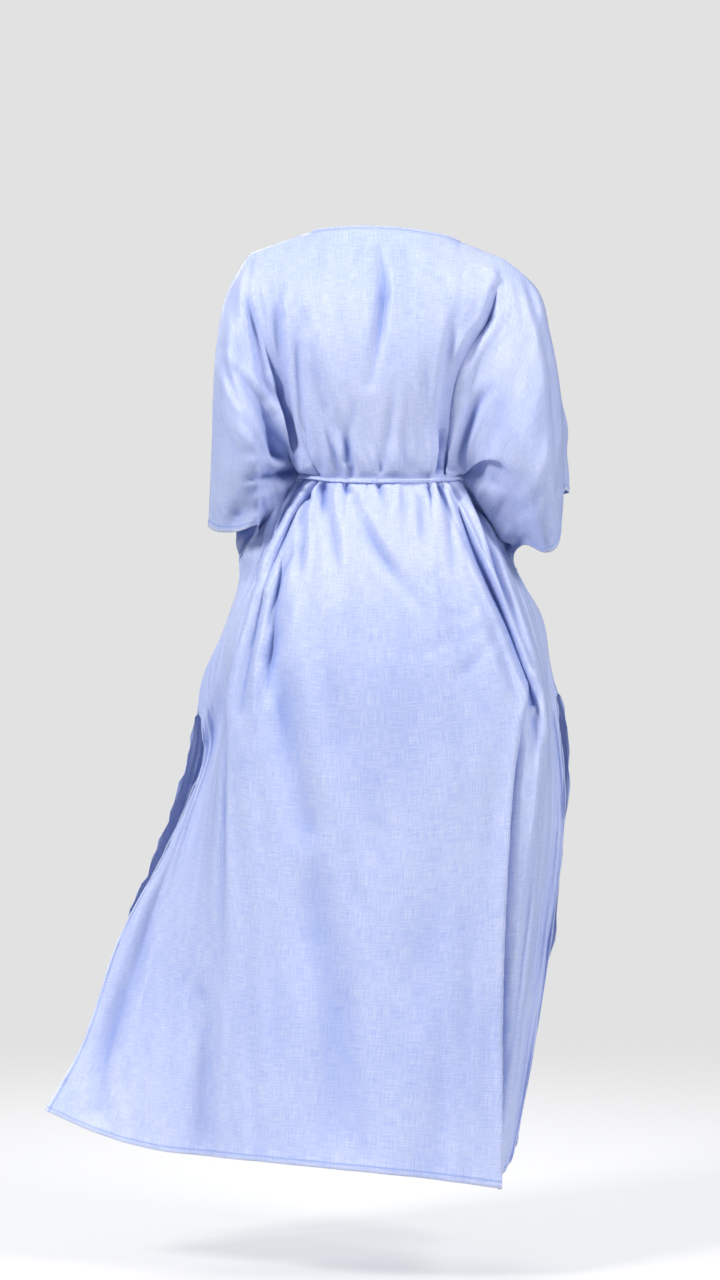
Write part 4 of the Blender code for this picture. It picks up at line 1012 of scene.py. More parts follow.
def joined(points, other, across, drop):
    """Both panels' sewn sides drawn to the line half way between them."""
    sewn = ease(drop, WAIST - JOIN_ABOVE, WAIST) * (1 - ease(drop, SLIT - JOIN_ABOUT, SLIT + JOIN_ABOUT))
    share = sewn[:, None] * ease(np.abs(across), JOIN_ACROSS, EDGE) / 2
    return points + share[:, :, None] * (other - points)


def sunk(height, passes, deep):
    """How far each place lies below the cloth round it: 0 on level cloth and 1 in a bed of the given depth."""
    level = averaged(averaged(height, passes, 1), passes // FEWER_DOWN, 0)
    return np.clip((level - height) / deep, 0, 1)


def stretched(rows):
    """The grid's lines: each stretch from start to end in even steps."""
    parts = [np.linspace(start, end, int(steps) + 1)[:-1] for start, end, steps in columns(rows, *rows)]
    return np.concatenate([*parts, rows["end"][-1:]])


@functools.cache
def panel_shape(face):
    """One panel's fine form: its lines across and down the cloth, the points, and the painted shade of each, from how
    deep it lies in a fold.

    The smooth form is moved along its outward directions by the creases, tucks, gathers, waves, ripples and hems,
    and sideways by the tucks. On the back those directions lean towards the picture's camera."""
    cloth = bpy.context.scene.kaftan_cloth
    across = stretched(ACROSS_STRETCHES)
    drop = stretched(DROP_STRETCHES)
    points = sheet(face, across, drop)
    other = sheet(OTHER[face], across, drop)
    room = np.linalg.norm(points - other, axis=2)
    points = joined(evened(points, across, drop), other, across, drop)
    off_tie = ease(np.abs(drop - TIE_DROP), *TIE_PRESS)[:, None]
    if face == "back":
        seen = in_picture(points * CM)
        scale = PIXEL / CM
        height = sum(creased(rows, seen, scale) for rows in (UPPER_BACK, SLEEVES, UPPER_SKIRT, LOWER_SKIRT))
        height = height * cloth.crease_share + creased(PINCHES, seen, scale)
        tuck, shift = tucked(TUCKS, seen, scale)
    else:
        seen = pairs(across, drop[:, None])
        height = creased(FRONT_CREASES, seen, 1.0) * cloth.crease_share
        tuck, shift = np.zeros(height.shape), np.zeros(seen.shape)
    free = loose(across, drop, **TUCK_HOLD) * (TIE_LEAVES + (1 - TIE_LEAVES) * off_tie)
    held = loose(across, drop, **WAVE_HOLD) * (1 - beside_buttonhole(across, drop))
    flow = cloth.gather_share * gathered(face, across, drop) + drawn_in(across, drop)
    flow += cloth.wave_share * waved(across, drop) * held * off_tie
    wanted = height + tuck + flow
    # Painted shade: how far the cloth is painted a darker blue in the beds of its folds and hollows.
    painted_shade = np.maximum(sunk(wanted, FOLD_PASSES, FOLD_DEEP) ** FOLD_POWER, sunk(wanted, HOLLOW_PASSES, HOLLOW_DEEP))
    height = (height + tuck) * free + flow + rippled(across, drop)
    height = np.maximum(height, ROOM_CLEAR - ROOM_SHARE * room)
    height += hemmed(across, drop, cloth.hem_width / CM, cloth.hem_step / CM)
    shift = shift * free[:, :, None]
    shift = np.stack([-shift[:, :, 0], np.zeros(height.shape), -shift[:, :, 1]], axis=2)
    out = normals(points, face)
    if face == "back":
        # The painted shade fades out where the back turns edge-on to the camera.
        painted_shade *= ease(out[:, :, 1], *FACING)
        out = unit(out + [0.0, TOWARDS_CAMERA, 0.0])
    return across, drop, (points + out * height[:, :, None] + shift) * CM, painted_shade


def on_panel(face, across, drop):
    """Places on a panel and the directions out of it, for a list of cloth measures, between the grid's points."""
    columns_at, rows_at, points, _ = panel_shape(face)
    column = np.interp(across, columns_at, np.arange(len(columns_at)))
    row = np.interp(drop, rows_at, np.arange(len(rows_at)))
    left = np.clip(column.astype(int), 0, len(columns_at) - 2)
    top = np.clip(row.astype(int), 0, len(rows_at) - 2)
    right_share = (column - left)[:, None]
    low_share = (row - top)[:, None]
    found = []
    for grid in (points, normals(points, face)):
        upper = grid[top, left] * (1 - right_share) + grid[top, left + 1] * right_share
        lower = grid[top + 1, left] * (1 - right_share) + grid[top + 1, left + 1] * right_share
        found.append(upper * (1 - low_share) + lower * low_share)
    return found[0], unit(found[1])


def grid_faces(rows, sides, closed_down=False, closed_across=False):
    """Quads between neighbours of a grid, closed on itself where asked."""
    index = np.arange(rows * sides).reshape(rows, sides)
    if closed_down:
        index = np.concatenate([index, index[:1]])
    if closed_across:
        index = np.concatenate([index, index[:, :1]], axis=1)
    return np.stack([index[:-1, :-1], index[1:, :-1], index[1:, 1:], index[:-1, 1:]], axis=2).reshape(-1, 4)


def tube(path, up, high, wide, closed, lobes=0.0, twist=0.0):
    """A rounded section carried along a path, as points, faces and cloth measures: an ellipse, drawn in at two sides
    by `lobes` with the cosine of twice the angle, turning by `twist` from end to end."""
    along = np.gradient(path, axis=0)
    if closed:
        along = (np.roll(path, -1, axis=0) - np.roll(path, 1, axis=0)) / 2
    along = unit(along)
    side = unit(np.cross(along, up))
    upright = np.cross(side, along)
    turn = np.linspace(0, 2 * math.pi, TRIM_SIDES, endpoint=False)
    lean = math.pi / 2 + twist * np.linspace(-0.5, 0.5, len(path))[:, None]
    share = 1 - lobes * (1 + np.cos(2 * (turn - lean))) / 2
    upward = (high * share * np.cos(turn))[:, :, None] * upright[:, None, :]
    sideways = (wide * share * np.sin(turn))[:, :, None] * side[:, None, :]
    faces = grid_faces(len(path), TRIM_SIDES, closed_down=closed, closed_across=True)[:, ::-1]
    return path[:, None, :] + upward + sideways, faces, pairs(distances(path)[:, None], turn * high)


def closed_ends(points, faces, uv):
    """A tube with its two ends closed by fans round a point in the middle of each: points, all faces and measures."""
    rows, sides = points.shape[:2]
    flat = np.concatenate([points.reshape(-1, 3), points[[0, -1]].mean(axis=1)])
    flat_uv = np.concatenate([uv.reshape(-1, 2), uv[[0, -1]].mean(axis=1)])
    first = np.arange(sides)
    last = first + (rows - 1) * sides
    middle = np.full(sides, rows * sides)
    caps = np.concatenate([
        np.stack([first, np.roll(first, -1), middle], axis=1),
        np.stack([np.roll(last, -1), last, middle + 1], axis=1),
    ])
    return flat, [faces, caps], flat_uv


class KaftanCloth(bpy.types.PropertyGroup):
    """Sizes and colours of the two panels."""

    thickness: FloatProperty(
        name="Cloth thickness", description="Thickness of the cloth", default=0.0007, unit="LENGTH"
    )
    hem_width: FloatProperty(name="Hem width", description="Width of the turned hems", default=0.008, unit="LENGTH")
    hem_step: FloatProperty(name="Hem step", description="How far the hems stand proud", default=0.0007, unit="LENGTH")
    crease_share: FloatProperty(name="Crease depth", description="Share of the creases' stated depth", default=1.7)
    wave_share: FloatProperty(name="Wave height", description="Share of the wide waves' stated height", default=1.0)
    gather_share: FloatProperty(
        name="Gather height", description="Share of the gathers' stated height", default=0.45
    )
    pale_thread: FloatVectorProperty(
        name="Pale thread", description="Colour of the white weft where it shows", subtype="COLOR", size=4,
        default=(0.75, 0.785, 0.965, 1.0),
    )
    blue_thread: FloatVectorProperty(
        name="Blue thread", description="Colour of the dyed warp", subtype="COLOR", size=4,
        default=(0.41, 0.51, 0.85, 1.0),
    )
    lit_through: FloatVectorProperty(
        name="Lit through", description="Colour of light that comes through the cloth", subtype="COLOR", size=4,
        default=(0.42, 0.58, 0.97, 1.0),
    )
    thinness: FloatProperty(name="Thinness", description="Share of light let through", default=0.18, subtype="FACTOR")
    # Painted shade: the darker blue painted into the beds of the folds, and below it how far the cloth is painted
    # towards it.
    fold_blue: FloatVectorProperty(
        name="Painted shade colour", description="Colour that the cloth nears between folds", subtype="COLOR", size=4,
        default=(0.17, 0.27, 0.68, 1.0),
    )
    fold_share: FloatProperty(
        name="Painted shade share", description="How far it nears that colour", default=0.6, subtype="FACTOR"
    )
    roughness: FloatProperty(name="Roughness", description="Roughness of the cloth", default=0.52, subtype="FACTOR")


class KaftanTrim(bpy.types.PropertyGroup):
    """Sizes and colours of the binding, tie and stitching."""

    binding_radius: FloatProperty(
        name="Binding", description="Half height of the neck binding", default=0.0023, unit="LENGTH"
    )
    tie_radius: FloatProperty(name="Tie", description="Half height of the waist tie", default=0.0025, unit="LENGTH")
    knot_size: FloatProperty(name="Knot", description="Half width of the tie's knot", default=0.0075, unit="LENGTH")
    stitch_length: FloatProperty(name="Stitch", description="Length of one stitch", default=0.003, unit="LENGTH")
    stitch_gap: FloatProperty(
        name="Stitch gap", description="Cloth between two stitches", default=0.0012, unit="LENGTH"
    )
    stitch_radius: FloatProperty(
        name="Thread", description="Half thickness of the thread", default=0.0003, unit="LENGTH"
    )
    loop_radius: FloatProperty(
        name="Loop thread", description="Half thickness of the worked threads", default=0.0005, unit="LENGTH"
    )
    thread_colour: FloatVectorProperty(
        name="Thread colour", description="Colour of the sewing thread", subtype="COLOR", size=4,
        default=(0.55, 0.65, 0.90, 1.0),
    )


class KaftanStudio(bpy.types.PropertyGroup):
    """The floor and the lights."""

    floor_height: FloatProperty(name="Floor", description="Height of the floor", default=-1.44, unit="LENGTH")
    floor_radius: FloatProperty(
        name="Floor radius", description="How far the floor reaches", default=3.0, unit="LENGTH"
    )
    paper: FloatVectorProperty(
        name="Paper", description="Colour of floor and backdrop", subtype="COLOR", size=4,
        default=(0.76, 0.76, 0.765, 1.0),
    )
    ambient: FloatProperty(name="Ambient", description="Strength of the light from all round", default=0.34)
    shade: FloatVectorProperty(
        name="Shade", description="Colour of the light from all round", subtype="COLOR", size=4,
        default=(0.60, 0.72, 1.0, 1.0),
    )
    key_power: FloatProperty(name="Key", description="Power of the large lamp", default=218.0, unit="POWER")
    fill_power: FloatProperty(name="Fill", description="Power of the lamp opposite", default=158.0, unit="POWER")
    front_power: FloatProperty(
        name="Front", description="Power of the lamp before the garment", default=105.0, unit="POWER"
    )


class Signal:
    """A socket that arithmetic can be written with: each sum or product adds its Math node."""

    def __init__(self, finish, socket):
        self.finish = finish
        self.socket = socket

    def math(self, operation, *others):
        """This signal and others through one Math node."""
        return self.finish.node("ShaderNodeMath", {"operation": operation}, dict(enumerate((self, *others))))

    def __add__(self, other):
        return self.math("ADD", other)

    def __sub__(self, other):
        return self.math("SUBTRACT", other)

    def __mul__(self, other):
        return self.math("MULTIPLY", other)

    def __rsub__(self, other):
        return self.finish.node("ShaderNodeMath", {"operation": "SUBTRACT"}, {0: other, 1: self})

    __radd__ = __add__
    __rmul__ = __mul__

    def between(self, start, end):
        """0 at start, 1 at end, held outside them, level at both."""
        return self.finish.node(
            "ShaderNodeMapRange",
            {"interpolation_type": "SMOOTHSTEP"},
            {"Value": self, "From Min": start, "From Max": end, "To Min": 0.0, "To Max": 1.0},
        )


class Finish:
    """One material and its nodes."""

    def __init__(self, name):
        self.material = bpy.data.materials.new(name)
        self.material.use_nodes = True
        self.tree = self.material.node_tree
        self.shader = self.tree.nodes["Principled BSDF"]

    def put(self, socket, value):
        """Links a signal to a socket, or sets the socket to a value."""
        if isinstance(value, Signal):
            self.tree.links.new(value.socket, socket)
        else:
            socket.default_value = value

    def node(self, kind, settings=None, sockets=None, output=0):
        """A new node with its settings and sockets, as the signal of one of its outputs."""
        made = self.tree.nodes.new(kind)
        for key, value in (settings or {}).items():
            setattr(made, key, value)
        for key, value in (sockets or {}).items():
            self.put(made.inputs[key], value)
        return Signal(self, made.outputs[output])

    def set(self, **sockets):
        """The shader's sockets by name, with _ for a space."""
        for key, value in sockets.items():
            self.put(self.shader.inputs[key.replace("_", " ")], value)

    def mix(self, share, first, second):
        """A colour between two, this share of the way to the second."""
        return self.node("ShaderNodeMix", {"data_type": "RGBA"}, {0: share, 6: first, 7: second}, output=2)

    def noise(self, vector, scale, detail=2.0, rough=0.5):
        """Soft noise from 0 to 1."""
        return self.node(
            "ShaderNodeTexNoise", None, {"Vector": vector, "Scale": scale, "Detail": detail, "Roughness": rough}
        )

    def bump(self, height, strength, distance, **normal):
        """The surface's direction bent by a relief, over another one's where that is given."""
        sockets = {"Height": height, "Strength": strength, "Distance": distance, **normal}
        return self.node("ShaderNodeBump", None, sockets)

    def place(self):
        """The object's own coordinates."""
        return self.node("ShaderNodeTexCoord", output=3)

    def cloth_measures(self):
        """Centimetres across and down the cloth, from the piece's own UV map."""
        spot = self.node("ShaderNodeUVMap", {"uv_map": "cloth"})
        parts = self.tree.nodes.new("ShaderNodeSeparateXYZ")
        self.tree.links.new(spot.socket, parts.inputs[0])
        return Signal(self, parts.outputs[0]) * 100.0, Signal(self, parts.outputs[1]) * -100.0

    def woven(self, across, down, along, over, starts, detail):
        """Half of noise drawn out across the cloth and half of noise drawn out down it."""
        weft = self.node("ShaderNodeCombineXYZ", None, {0: across * along, 1: down * over, 2: starts[0]})
        warp = self.node("ShaderNodeCombineXYZ", None, {0: across * over, 1: down * along, 2: starts[1]})
        return self.noise(weft, 1.0, detail) * 0.5 + self.noise(warp, 1.0, detail) * 0.5


def hem_tones(finish, colour, across, down):
    """The cloth's colour with its edges worn pale and given a painted highlight, and a painted shade line, a deeper
    blue, at the foot of the hem's step where the turned cloth ends.
    """
    to_side = EDGE - across.math("ABSOLUTE")
    to_hem = LENGTH - down
    open_side = down.between(SLIT - 1.0, SLIT) + down.between(WAIST, WAIST - 1.0)
    worn_and_highlit = open_side * to_side.between(*WORN_HIGHLIT_SIDE_REACH) + to_hem.between(*WORN_HIGHLIT_HEM_REACH)
    worn_and_highlit = worn_and_highlit.math("MINIMUM", 1.0)
    # Worn pale edges, which also carry a painted highlight.
    colour = finish.mix(worn_and_highlit * WORN_HIGHLIT_SHARE, colour, WORN_AND_HIGHLIT_EDGE)
    # Painted shade: a deeper blue line at the foot of the hem's step.
    line = open_side * to_side.between(*HEM_STEP_SHADE_OUT) * to_side.between(*HEM_STEP_SHADE_IN)
    line = line + to_hem.between(*HEM_STEP_SHADE_OUT) * to_hem.between(*HEM_STEP_SHADE_IN)
    return finish.mix(line * HEM_STEP_SHADE_SHARE, colour, HEM_STEP_SHADE)


@functools.cache
def chambray(name, hemmed):
    """Chambray: blue warp and white weft with slubs both ways and a slight sheen, which lets some light through. A
    hemmed one is paler along its worn edges, which also carry a painted highlight, has a painted shade line at its
    hems' steps, and is painted a darker blue as shade in the beds of its folds."""
    cloth = bpy.context.scene.kaftan_cloth
    finish = Finish(name)
    across, down = finish.cloth_measures()
    place = finish.place()
    slubs = finish.woven(across, down, **SLUBS)
    threads = finish.woven(across, down, **THREADS)
    cloud = finish.noise(place, CLOUD_SCALE)
    share = (slubs * SLUB_TONE + threads * THREAD_TONE + cloud * CLOUD_TONE).between(*WHITE_TONES)
    colour = finish.mix(share, tuple(cloth.blue_thread), tuple(cloth.pale_thread))
    if hemmed:
        colour = hem_tones(finish, colour, across, down)
        # Painted shade: the colour is darkened towards a deep blue in the beds of the folds, from the panel's
        # attribute.
        painted_shade = finish.node("ShaderNodeAttribute", {"attribute_name": "fold"}, output=2)
        colour = finish.mix(painted_shade * cloth.fold_share, colour, tuple(cloth.fold_blue))
    weave = finish.bump(threads * 0.5 + slubs * 0.5, BUMP_STRENGTH, WEAVE_HEIGHT)
    crumple = finish.noise(place, **CRUMPLES)
    finish.set(
        Base_Color=colour,
        Roughness=share * -THREAD_GLOSS + (cloth.roughness + THREAD_GLOSS / 2),
        Metallic=0.0,
        Specular_IOR_Level=0.4,
        Sheen_Weight=0.25,
        Sheen_Roughness=0.45,
        Sheen_Tint=(0.75, 0.83, 1.0, 1.0),
        Normal=finish.bump(crumple, BUMP_STRENGTH, CRUMPLE_HEIGHT, Normal=weave),
    )
    through = finish.node("ShaderNodeBsdfTranslucent", None, {"Color": tuple(cloth.lit_through)})
    body = Signal(finish, finish.shader.outputs[0])
    both = finish.node("ShaderNodeMixShader", None, {0: cloth.thinness, 1: body, 2: through})
    finish.put(finish.tree.nodes["Material Output"].inputs[0], both)
    return finish.material


@functools.cache
def thread_finish():
    """Polyester sewing thread with a fine grain."""
    finish = Finish("sewing_thread")
    base = tuple(bpy.context.scene.kaftan_trim.thread_colour)
    pale = tuple(min(1.0, THREAD_PALE * part) for part in base[:3]) + (1.0,)
    finish.set(Base_Color=finish.mix(finish.noise(finish.place(), THREAD_GRAIN, 1.0), base, pale), Roughness=0.55)
    return finish.material


def floor_finish():
    """Matt studio paper that fades out to the backdrop at its rim."""
    studio = bpy.context.scene.kaftan_studio
    finish = Finish("studio_paper")
    place = finish.place()
    level = finish.node("ShaderNodeVectorMath", {"operation": "MULTIPLY"}, {0: place, 1: (1.0, 1.0, 0.0)})
    far = finish.node("ShaderNodeVectorMath", {"operation": "LENGTH"}, {0: level}, output=1)
    grain = finish.noise(place, PAPER_GRAIN)
    finish.set(
        Base_Color=finish.mix(grain * PAPER_GRAIN_SHARE, *PAPER_TONES),
        Emission_Color=tuple(studio.paper),
        Emission_Strength=FLOOR_GLOW,
        Roughness=0.95,
        Alpha=far.between(*FLOOR_FADE),
    )
    return finish.material


def add_object(name, points, *faces):
    """An object in the scene, with a mesh of its points and arrays of faces."""
    mesh = bpy.data.meshes.new(name)
    mesh.from_pydata(points.reshape(-1, 3).tolist(), [], [face for part in faces for face in part.tolist()])
    made = bpy.data.objects.new(name, mesh)
    bpy.context.scene.collection.objects.link(made)
    return made


def add_piece(name, points, faces, material, node=None, uv=None):
    """One finished piece: its points, its arrays of faces and, where it has one, the cloth measure of each point."""
    piece = add_object(name, points, *faces)
    mesh = piece.data
    if uv is not None:
        corners = np.concatenate([part.ravel() for part in faces])
        layer = mesh.uv_layers.new(name="cloth")
        layer.data.foreach_set("uv", uv.reshape(-1, 2)[corners].ravel().astype(np.float32))
    mesh.shade_smooth()
    mesh.materials.append(material)
    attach(piece, "root")
    if node:
        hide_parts(node)
    return piece


class KAFTAN_OT_panels(bpy.types.Operator):
    """Builds the back and the front panel as fine creased cloth with their buttonholes."""

    bl_idname = "kaftan.panels"
    bl_label = "Panels"

    def execute(self, context):
        material = chambray("chambray", True)
        for face in FACES:
            across, drop, points, fold = panel_shape(face)
            middle_drop = (drop[1:] + drop[:-1])[:, None] / 2
            middle_across = np.abs(across[1:] + across[:-1]) / 2
            hole = within(middle_drop, SLOT["drop"]) & within(middle_across, SLOT["across"])
            faces = grid_faces(len(drop), len(across))[~hole.ravel()]
            if face == "front":
                faces = faces[:, ::-1]
            uv = pairs(across * CM, -drop[:, None] * CM)
            name = face + "_panel"
            panel = add_piece(name + "_cloth", points, [faces], material, name, uv)
            # The painted shade of each point, kept as an attribute that the cloth's colour reads.
            painted_shade_layer = panel.data.attributes.new("fold", "FLOAT", "POINT")
            painted_shade_layer.data.foreach_set("value", fold.ravel().astype(np.float32))
            wall = panel.modifiers.new("wall", "SOLIDIFY")
            wall.thickness = context.scene.kaftan_cloth.thickness
            wall.offset = 0.0
        return {"FINISHED"}


class KAFTAN_OT_binding(bpy.types.Operator):
    """Builds the narrow self binding round the neck: a rounded strip carried along the two panels' neck edges."""

    bl_idname = "kaftan.binding"
    bl_label = "Neck binding"

    def execute(self, context):
        radius = context.scene.kaftan_trim.binding_radius
        halves = []
        for face in FACES:
            across, _, points, _ = panel_shape(face)
            in_neck = (across >= NECK_CORNERS[0]) & (across <= NECK_CORNERS[1])
            edge = points[0, in_neck]
            along = unit(np.gradient(edge, axis=0))
            upward = edge - points[BINDING_ROW, in_neck]
            upward = unit(upward - (upward * along).sum(axis=1, keepdims=True) * along)
            from_corner = np.minimum(across[in_neck] - NECK_CORNERS[0], NECK_CORNERS[1] - across[in_neck])
            proud = BINDING_PROUD - BINDING_CORNER_LESS * bell(from_corner, 0, BINDING_CORNER_REACH)
            halves.append((edge + proud[:, None] * radius * upward, upward))
        rings = []
        for back, front in zip(*halves):
            ring = np.concatenate([back[1:-1], front[-2:0:-1]])
            for _ in range(2):
                ring = (np.roll(ring, 1, axis=0) + 2 * ring + np.roll(ring, -1, axis=0)) / 4
            rings.append(ring)
        points, faces, uv = tube(*rings, radius, BINDING_WIDE * radius, True)
        material = chambray("bias_chambray", False)
        add_piece("neck_binding_strip", points, [faces], material, "neck_binding", uv)
        return {"FINISHED"}


def tie_arc(face):
    """The tie's line over one panel: along the cloth at a drop that bows by a cosine and lifts towards the sides,
    and out from there so far that it clears the cloth just above and below it."""
    across = np.linspace(-TIE_REACH, TIE_REACH, TIE_STATIONS)
    bow = TIE_HANG * np.cos(math.pi * across / TIE_HANG_HALF_WAVE)
    drop = TIE_DROP + bow - TIE_LIFT * ease(across, *TIE_LIFT_ACROSS)
    offsets = np.linspace(-TIE_FEELS, TIE_FEELS, TIE_FEEL_LINES)
    felt = np.stack([on_panel(face, across, drop + offset)[0] for offset in offsets])
    row = felt.mean(axis=0)
    along = np.gradient(row, axis=0) * (1 if face == "back" else -1)
    outward = unit(np.stack([-along[:, 1], along[:, 0], np.zeros(len(row))], axis=1))
    proud = ((felt - row) * outward).sum(axis=2).max(axis=0)
    return row + outward * (proud + bpy.context.scene.kaftan_trim.tie_radius + TIE_OFF)[:, None]


def slot_middle(face, side):
    """The middle of one worked slot, as a route of one point."""
    across, drop = (np.full(2, sum(SLOT[name]) / 2) for name in ("across", "drop"))
    return on_panel(face, side * across, drop)[0][:1]


@functools.cache
def tie_path():
    """The tie's route from one side of its knot all round to the other, lying on the cloth, and the knot's middle."""
    size = bpy.context.scene.kaftan_trim.knot_size
    front = tie_arc("front")
    middle = front[len(front) // 2]
    right_end, left_end = ([[side * size * KNOT_ENDS, middle[1], middle[2]]] for side in (-1, 1))
    free = size * KNOT_ENDS * KNOT_FREE
    route = np.concatenate([
        right_end,
        front[front[:, 0] < -free][::-1],
        slot_middle("front", -1),
        slot_middle("back", -1),
        tie_arc("back"),
        slot_middle("back", 1),
        slot_middle("front", 1),
        front[front[:, 0] > free][::-1],
        left_end,
    ])
    length = distances(route)
    coarse = averaged(smooth(length, route, np.linspace(0, length[-1], TIE_COARSE)), 1, 0)
    return smooth(np.linspace(0, 1, TIE_COARSE), coarse, np.linspace(0, 1, TIE_POINTS)), middle


def knot_path(middle):
    """The knot's curve, a trefoil: across it goes the sine of the angle plus twice that of its double, out the sine
    of its triple, and up its cosine less twice that of its double."""
    turn = np.linspace(0, 2 * math.pi, KNOT_POINTS, endpoint=False)
    across = np.sin(turn) + 2 * np.sin(2 * turn)
    out = KNOT_DEEP * np.sin(3 * turn)
    up = KNOT_TALL * (np.cos(turn) - 2 * np.cos(2 * turn))
    size = bpy.context.scene.kaftan_trim.knot_size / 3
    return np.stack([across, out, up], axis=1) * size + [0.0, middle[1] - KNOT_BEFORE, middle[2]]


class KAFTAN_OT_tie(bpy.types.Operator):
    """Builds the rouleau tie and its knot at the front."""

    bl_idname = "kaftan.tie"
    bl_label = "Waist tie"

    def execute(self, context):
        radius = context.scene.kaftan_trim.tie_radius
        material = chambray("tie_chambray", False)
        path, middle = tie_path()
        cord = tube(path, (0.0, 0.0, 1.0), radius, TIE_DEEP * radius, False, lobes=TIE_FOLDED, twist=TIE_TWIST)
        points, faces, uv = closed_ends(*cord)
        add_piece("waist_tie_rouleau", points, faces, material, "waist_tie", uv)
        cord_radius = KNOT_CORD * radius
        points, faces, uv = tube(knot_path(middle), KNOT_UP, cord_radius, cord_radius, True, lobes=KNOT_FOLDED)
        add_piece("tie_knot_cloth", points, [faces], material, "tie_knot", uv)
        return {"FINISHED"}


def at_distances(wanted, length, values):
    """Values at these distances along a path, between its points."""
    return np.stack([np.interp(wanted, length, column) for column in values.T], axis=1)


def stitch_line(face, across, drop):
    """The starts, ends and outward directions of the stitches along one line of cloth measures."""
    trim = bpy.context.scene.kaftan_trim
    thickness = bpy.context.scene.kaftan_cloth.thickness
    places, out = on_panel(face, across, drop)
    length = distances(places)
    pitch = trim.stitch_length + trim.stitch_gap
    middles = np.arange(0.5 * pitch, length[-1] - 0.5 * pitch, pitch)
    half = trim.stitch_length / 2
    outward = unit(at_distances(middles, length, out))
    lift = outward * (thickness / 2 + 0.5 * trim.stitch_radius)
    starts, ends = (at_distances(middles + step, length, places) + lift for step in (-half, half))
    return starts, ends, outward


def stitches(lines):
    """Many short threads as one mesh: each a four-sided spindle, flat on the cloth, between its two needle holes."""
    radius = bpy.context.scene.kaftan_trim.stitch_radius
    starts, ends, out = (np.concatenate(part) for part in zip(*lines))
    along = unit(ends - starts)
    side = unit(np.cross(along, out))
    out = np.cross(side, along)
    turn = np.linspace(0, 2 * math.pi, STITCH_SIDES, endpoint=False)[:, None]
    length = (ends - starts)[:, None] * STITCH["share"][:, None]
    height = out[:, None] * (STITCH["high"] * radius)[:, None]
    ring = np.cos(turn) * side[:, None, None] + np.sin(turn) * out[:, None, None]
    middle = starts[:, None] + length + height
    points = middle[:, :, None] + ring * (STITCH["thick"] * radius)[:, None, None]
    count, rows, sides = points.shape[:3]
    first = np.arange(sides)
    one = np.concatenate([grid_faces(rows, sides, closed_across=True), [first[::-1], first + (rows - 1) * sides]])
    faces = (np.arange(count)[:, None, None] * rows * sides + one).reshape(-1, 4)
    return points, faces


def thread_loop():
    """The thread that holds the tie up at the middle of the back: an arch over it, its feet in the cloth."""
    trim = bpy.context.scene.kaftan_trim
    radius = trim.loop_radius
    path, _ = tie_path()
    behind = path[path[:, 1] > 0]
    middle = behind[np.abs(behind[:, 0] - LOOP_X).argmin()]
    turn = np.linspace(-LOOP_TURN, LOOP_TURN, LOOP_POINTS)
    round_tie = np.stack([np.zeros(len(turn)), np.cos(turn), LOOP_TALL * np.sin(turn)], axis=1)
    arch = middle + (trim.tie_radius + radius) * round_tie
    points, faces, uv = closed_ends(*tube(arch, (1.0, 0.0, 0.0), radius, radius, False))
    add_piece("tie_loop_thread", points, faces, thread_finish(), uv=uv)


def buttonhole_edge(face, side):
    """Points and faces of the worked thread round one slot: an oval ring through the slot's four corners."""
    radius = bpy.context.scene.kaftan_trim.loop_radius
    turn = np.linspace(0, 2 * math.pi, BUTTONHOLE_POINTS, endpoint=False)
    middle = [sum(SLOT[name]) / 2 for name in ("across", "drop")]
    half = [(SLOT[name][1] - SLOT[name][0]) / 2 * math.sqrt(2) for name in ("across", "drop")]
    across = side * (middle[0] + half[0] * np.cos(turn))
    places, out = on_panel(face, across, middle[1] + half[1] * np.sin(turn))
    points, faces, _ = tube(places, out, radius, radius, True)
    return points.reshape(-1, 3), faces


class KAFTAN_OT_stitching(bpy.types.Operator):
    """Sews the hems of cuffs, slits and skirt and the neck edge, works the buttonholes and loops the tie's thread."""

    bl_idname = "kaftan.stitching"
    bl_label = "Stitching"

    def execute(self, context):
        inset = context.scene.kaftan_cloth.hem_width / CM - HEM_SLOPE
        foot = LENGTH - inset
        for face in FACES:
            lines = []
            for side in (-1, 1):
                for span in ((CUFF_TOP, WAIST), (SLIT, foot)):
                    drop = np.linspace(*span, SIDE_LINE_POINTS)
                    lines.append(stitch_line(face, np.full(len(drop), side * (EDGE - inset)), drop))
            hem = np.linspace(-EDGE + inset, EDGE - inset, HEM_LINE_POINTS)
            lines.append(stitch_line(face, hem, np.full(len(hem), foot)))
            neck = np.linspace(NECK_CORNERS[0] + NECK_STITCH_ENDS, NECK_CORNERS[1] - NECK_STITCH_ENDS, NECK_LINE_POINTS)
            lines.append(stitch_line(face, neck, np.full(len(neck), NECK_STITCH_DROP)))
            points, faces = stitches(lines)
            add_piece(face + "_panel_stitching", points, [faces], thread_finish())
            (right, faces), (left, more) = (buttonhole_edge(face, side) for side in (-1, 1))
            points, faces = np.concatenate([right, left]), np.concatenate([faces, more + len(right)])
            add_piece(face + "_buttonhole_threads", points, [faces], thread_finish())
        thread_loop()
        return {"FINISHED"}


def add_floor(studio):
    """A round floor of rings, crowded towards the middle by a power, under the garment."""
    radius = np.linspace(0.0, 1.0, FLOOR_RINGS)[1:, None] ** FLOOR_CROWDING * studio.floor_radius
    turn = np.linspace(0, 2 * math.pi, FLOOR_SIDES, endpoint=False)
    height = np.full((len(radius), len(turn)), studio.floor_height)
    rings = np.stack([radius * np.cos(turn), radius * np.sin(turn), height], axis=-1)
    flat = np.concatenate([rings.reshape(-1, 3), [[0.0, 0.0, studio.floor_height]]])
    quads = grid_faces(len(radius), len(turn), closed_across=True)
    first = np.arange(len(turn))
    fan = np.stack([np.roll(first, -1), np.full(len(turn), len(flat) - 1), first], axis=1)
    floor = add_object("studio_floor", flat, quads, fan)
    floor.data.materials.append(floor_finish())


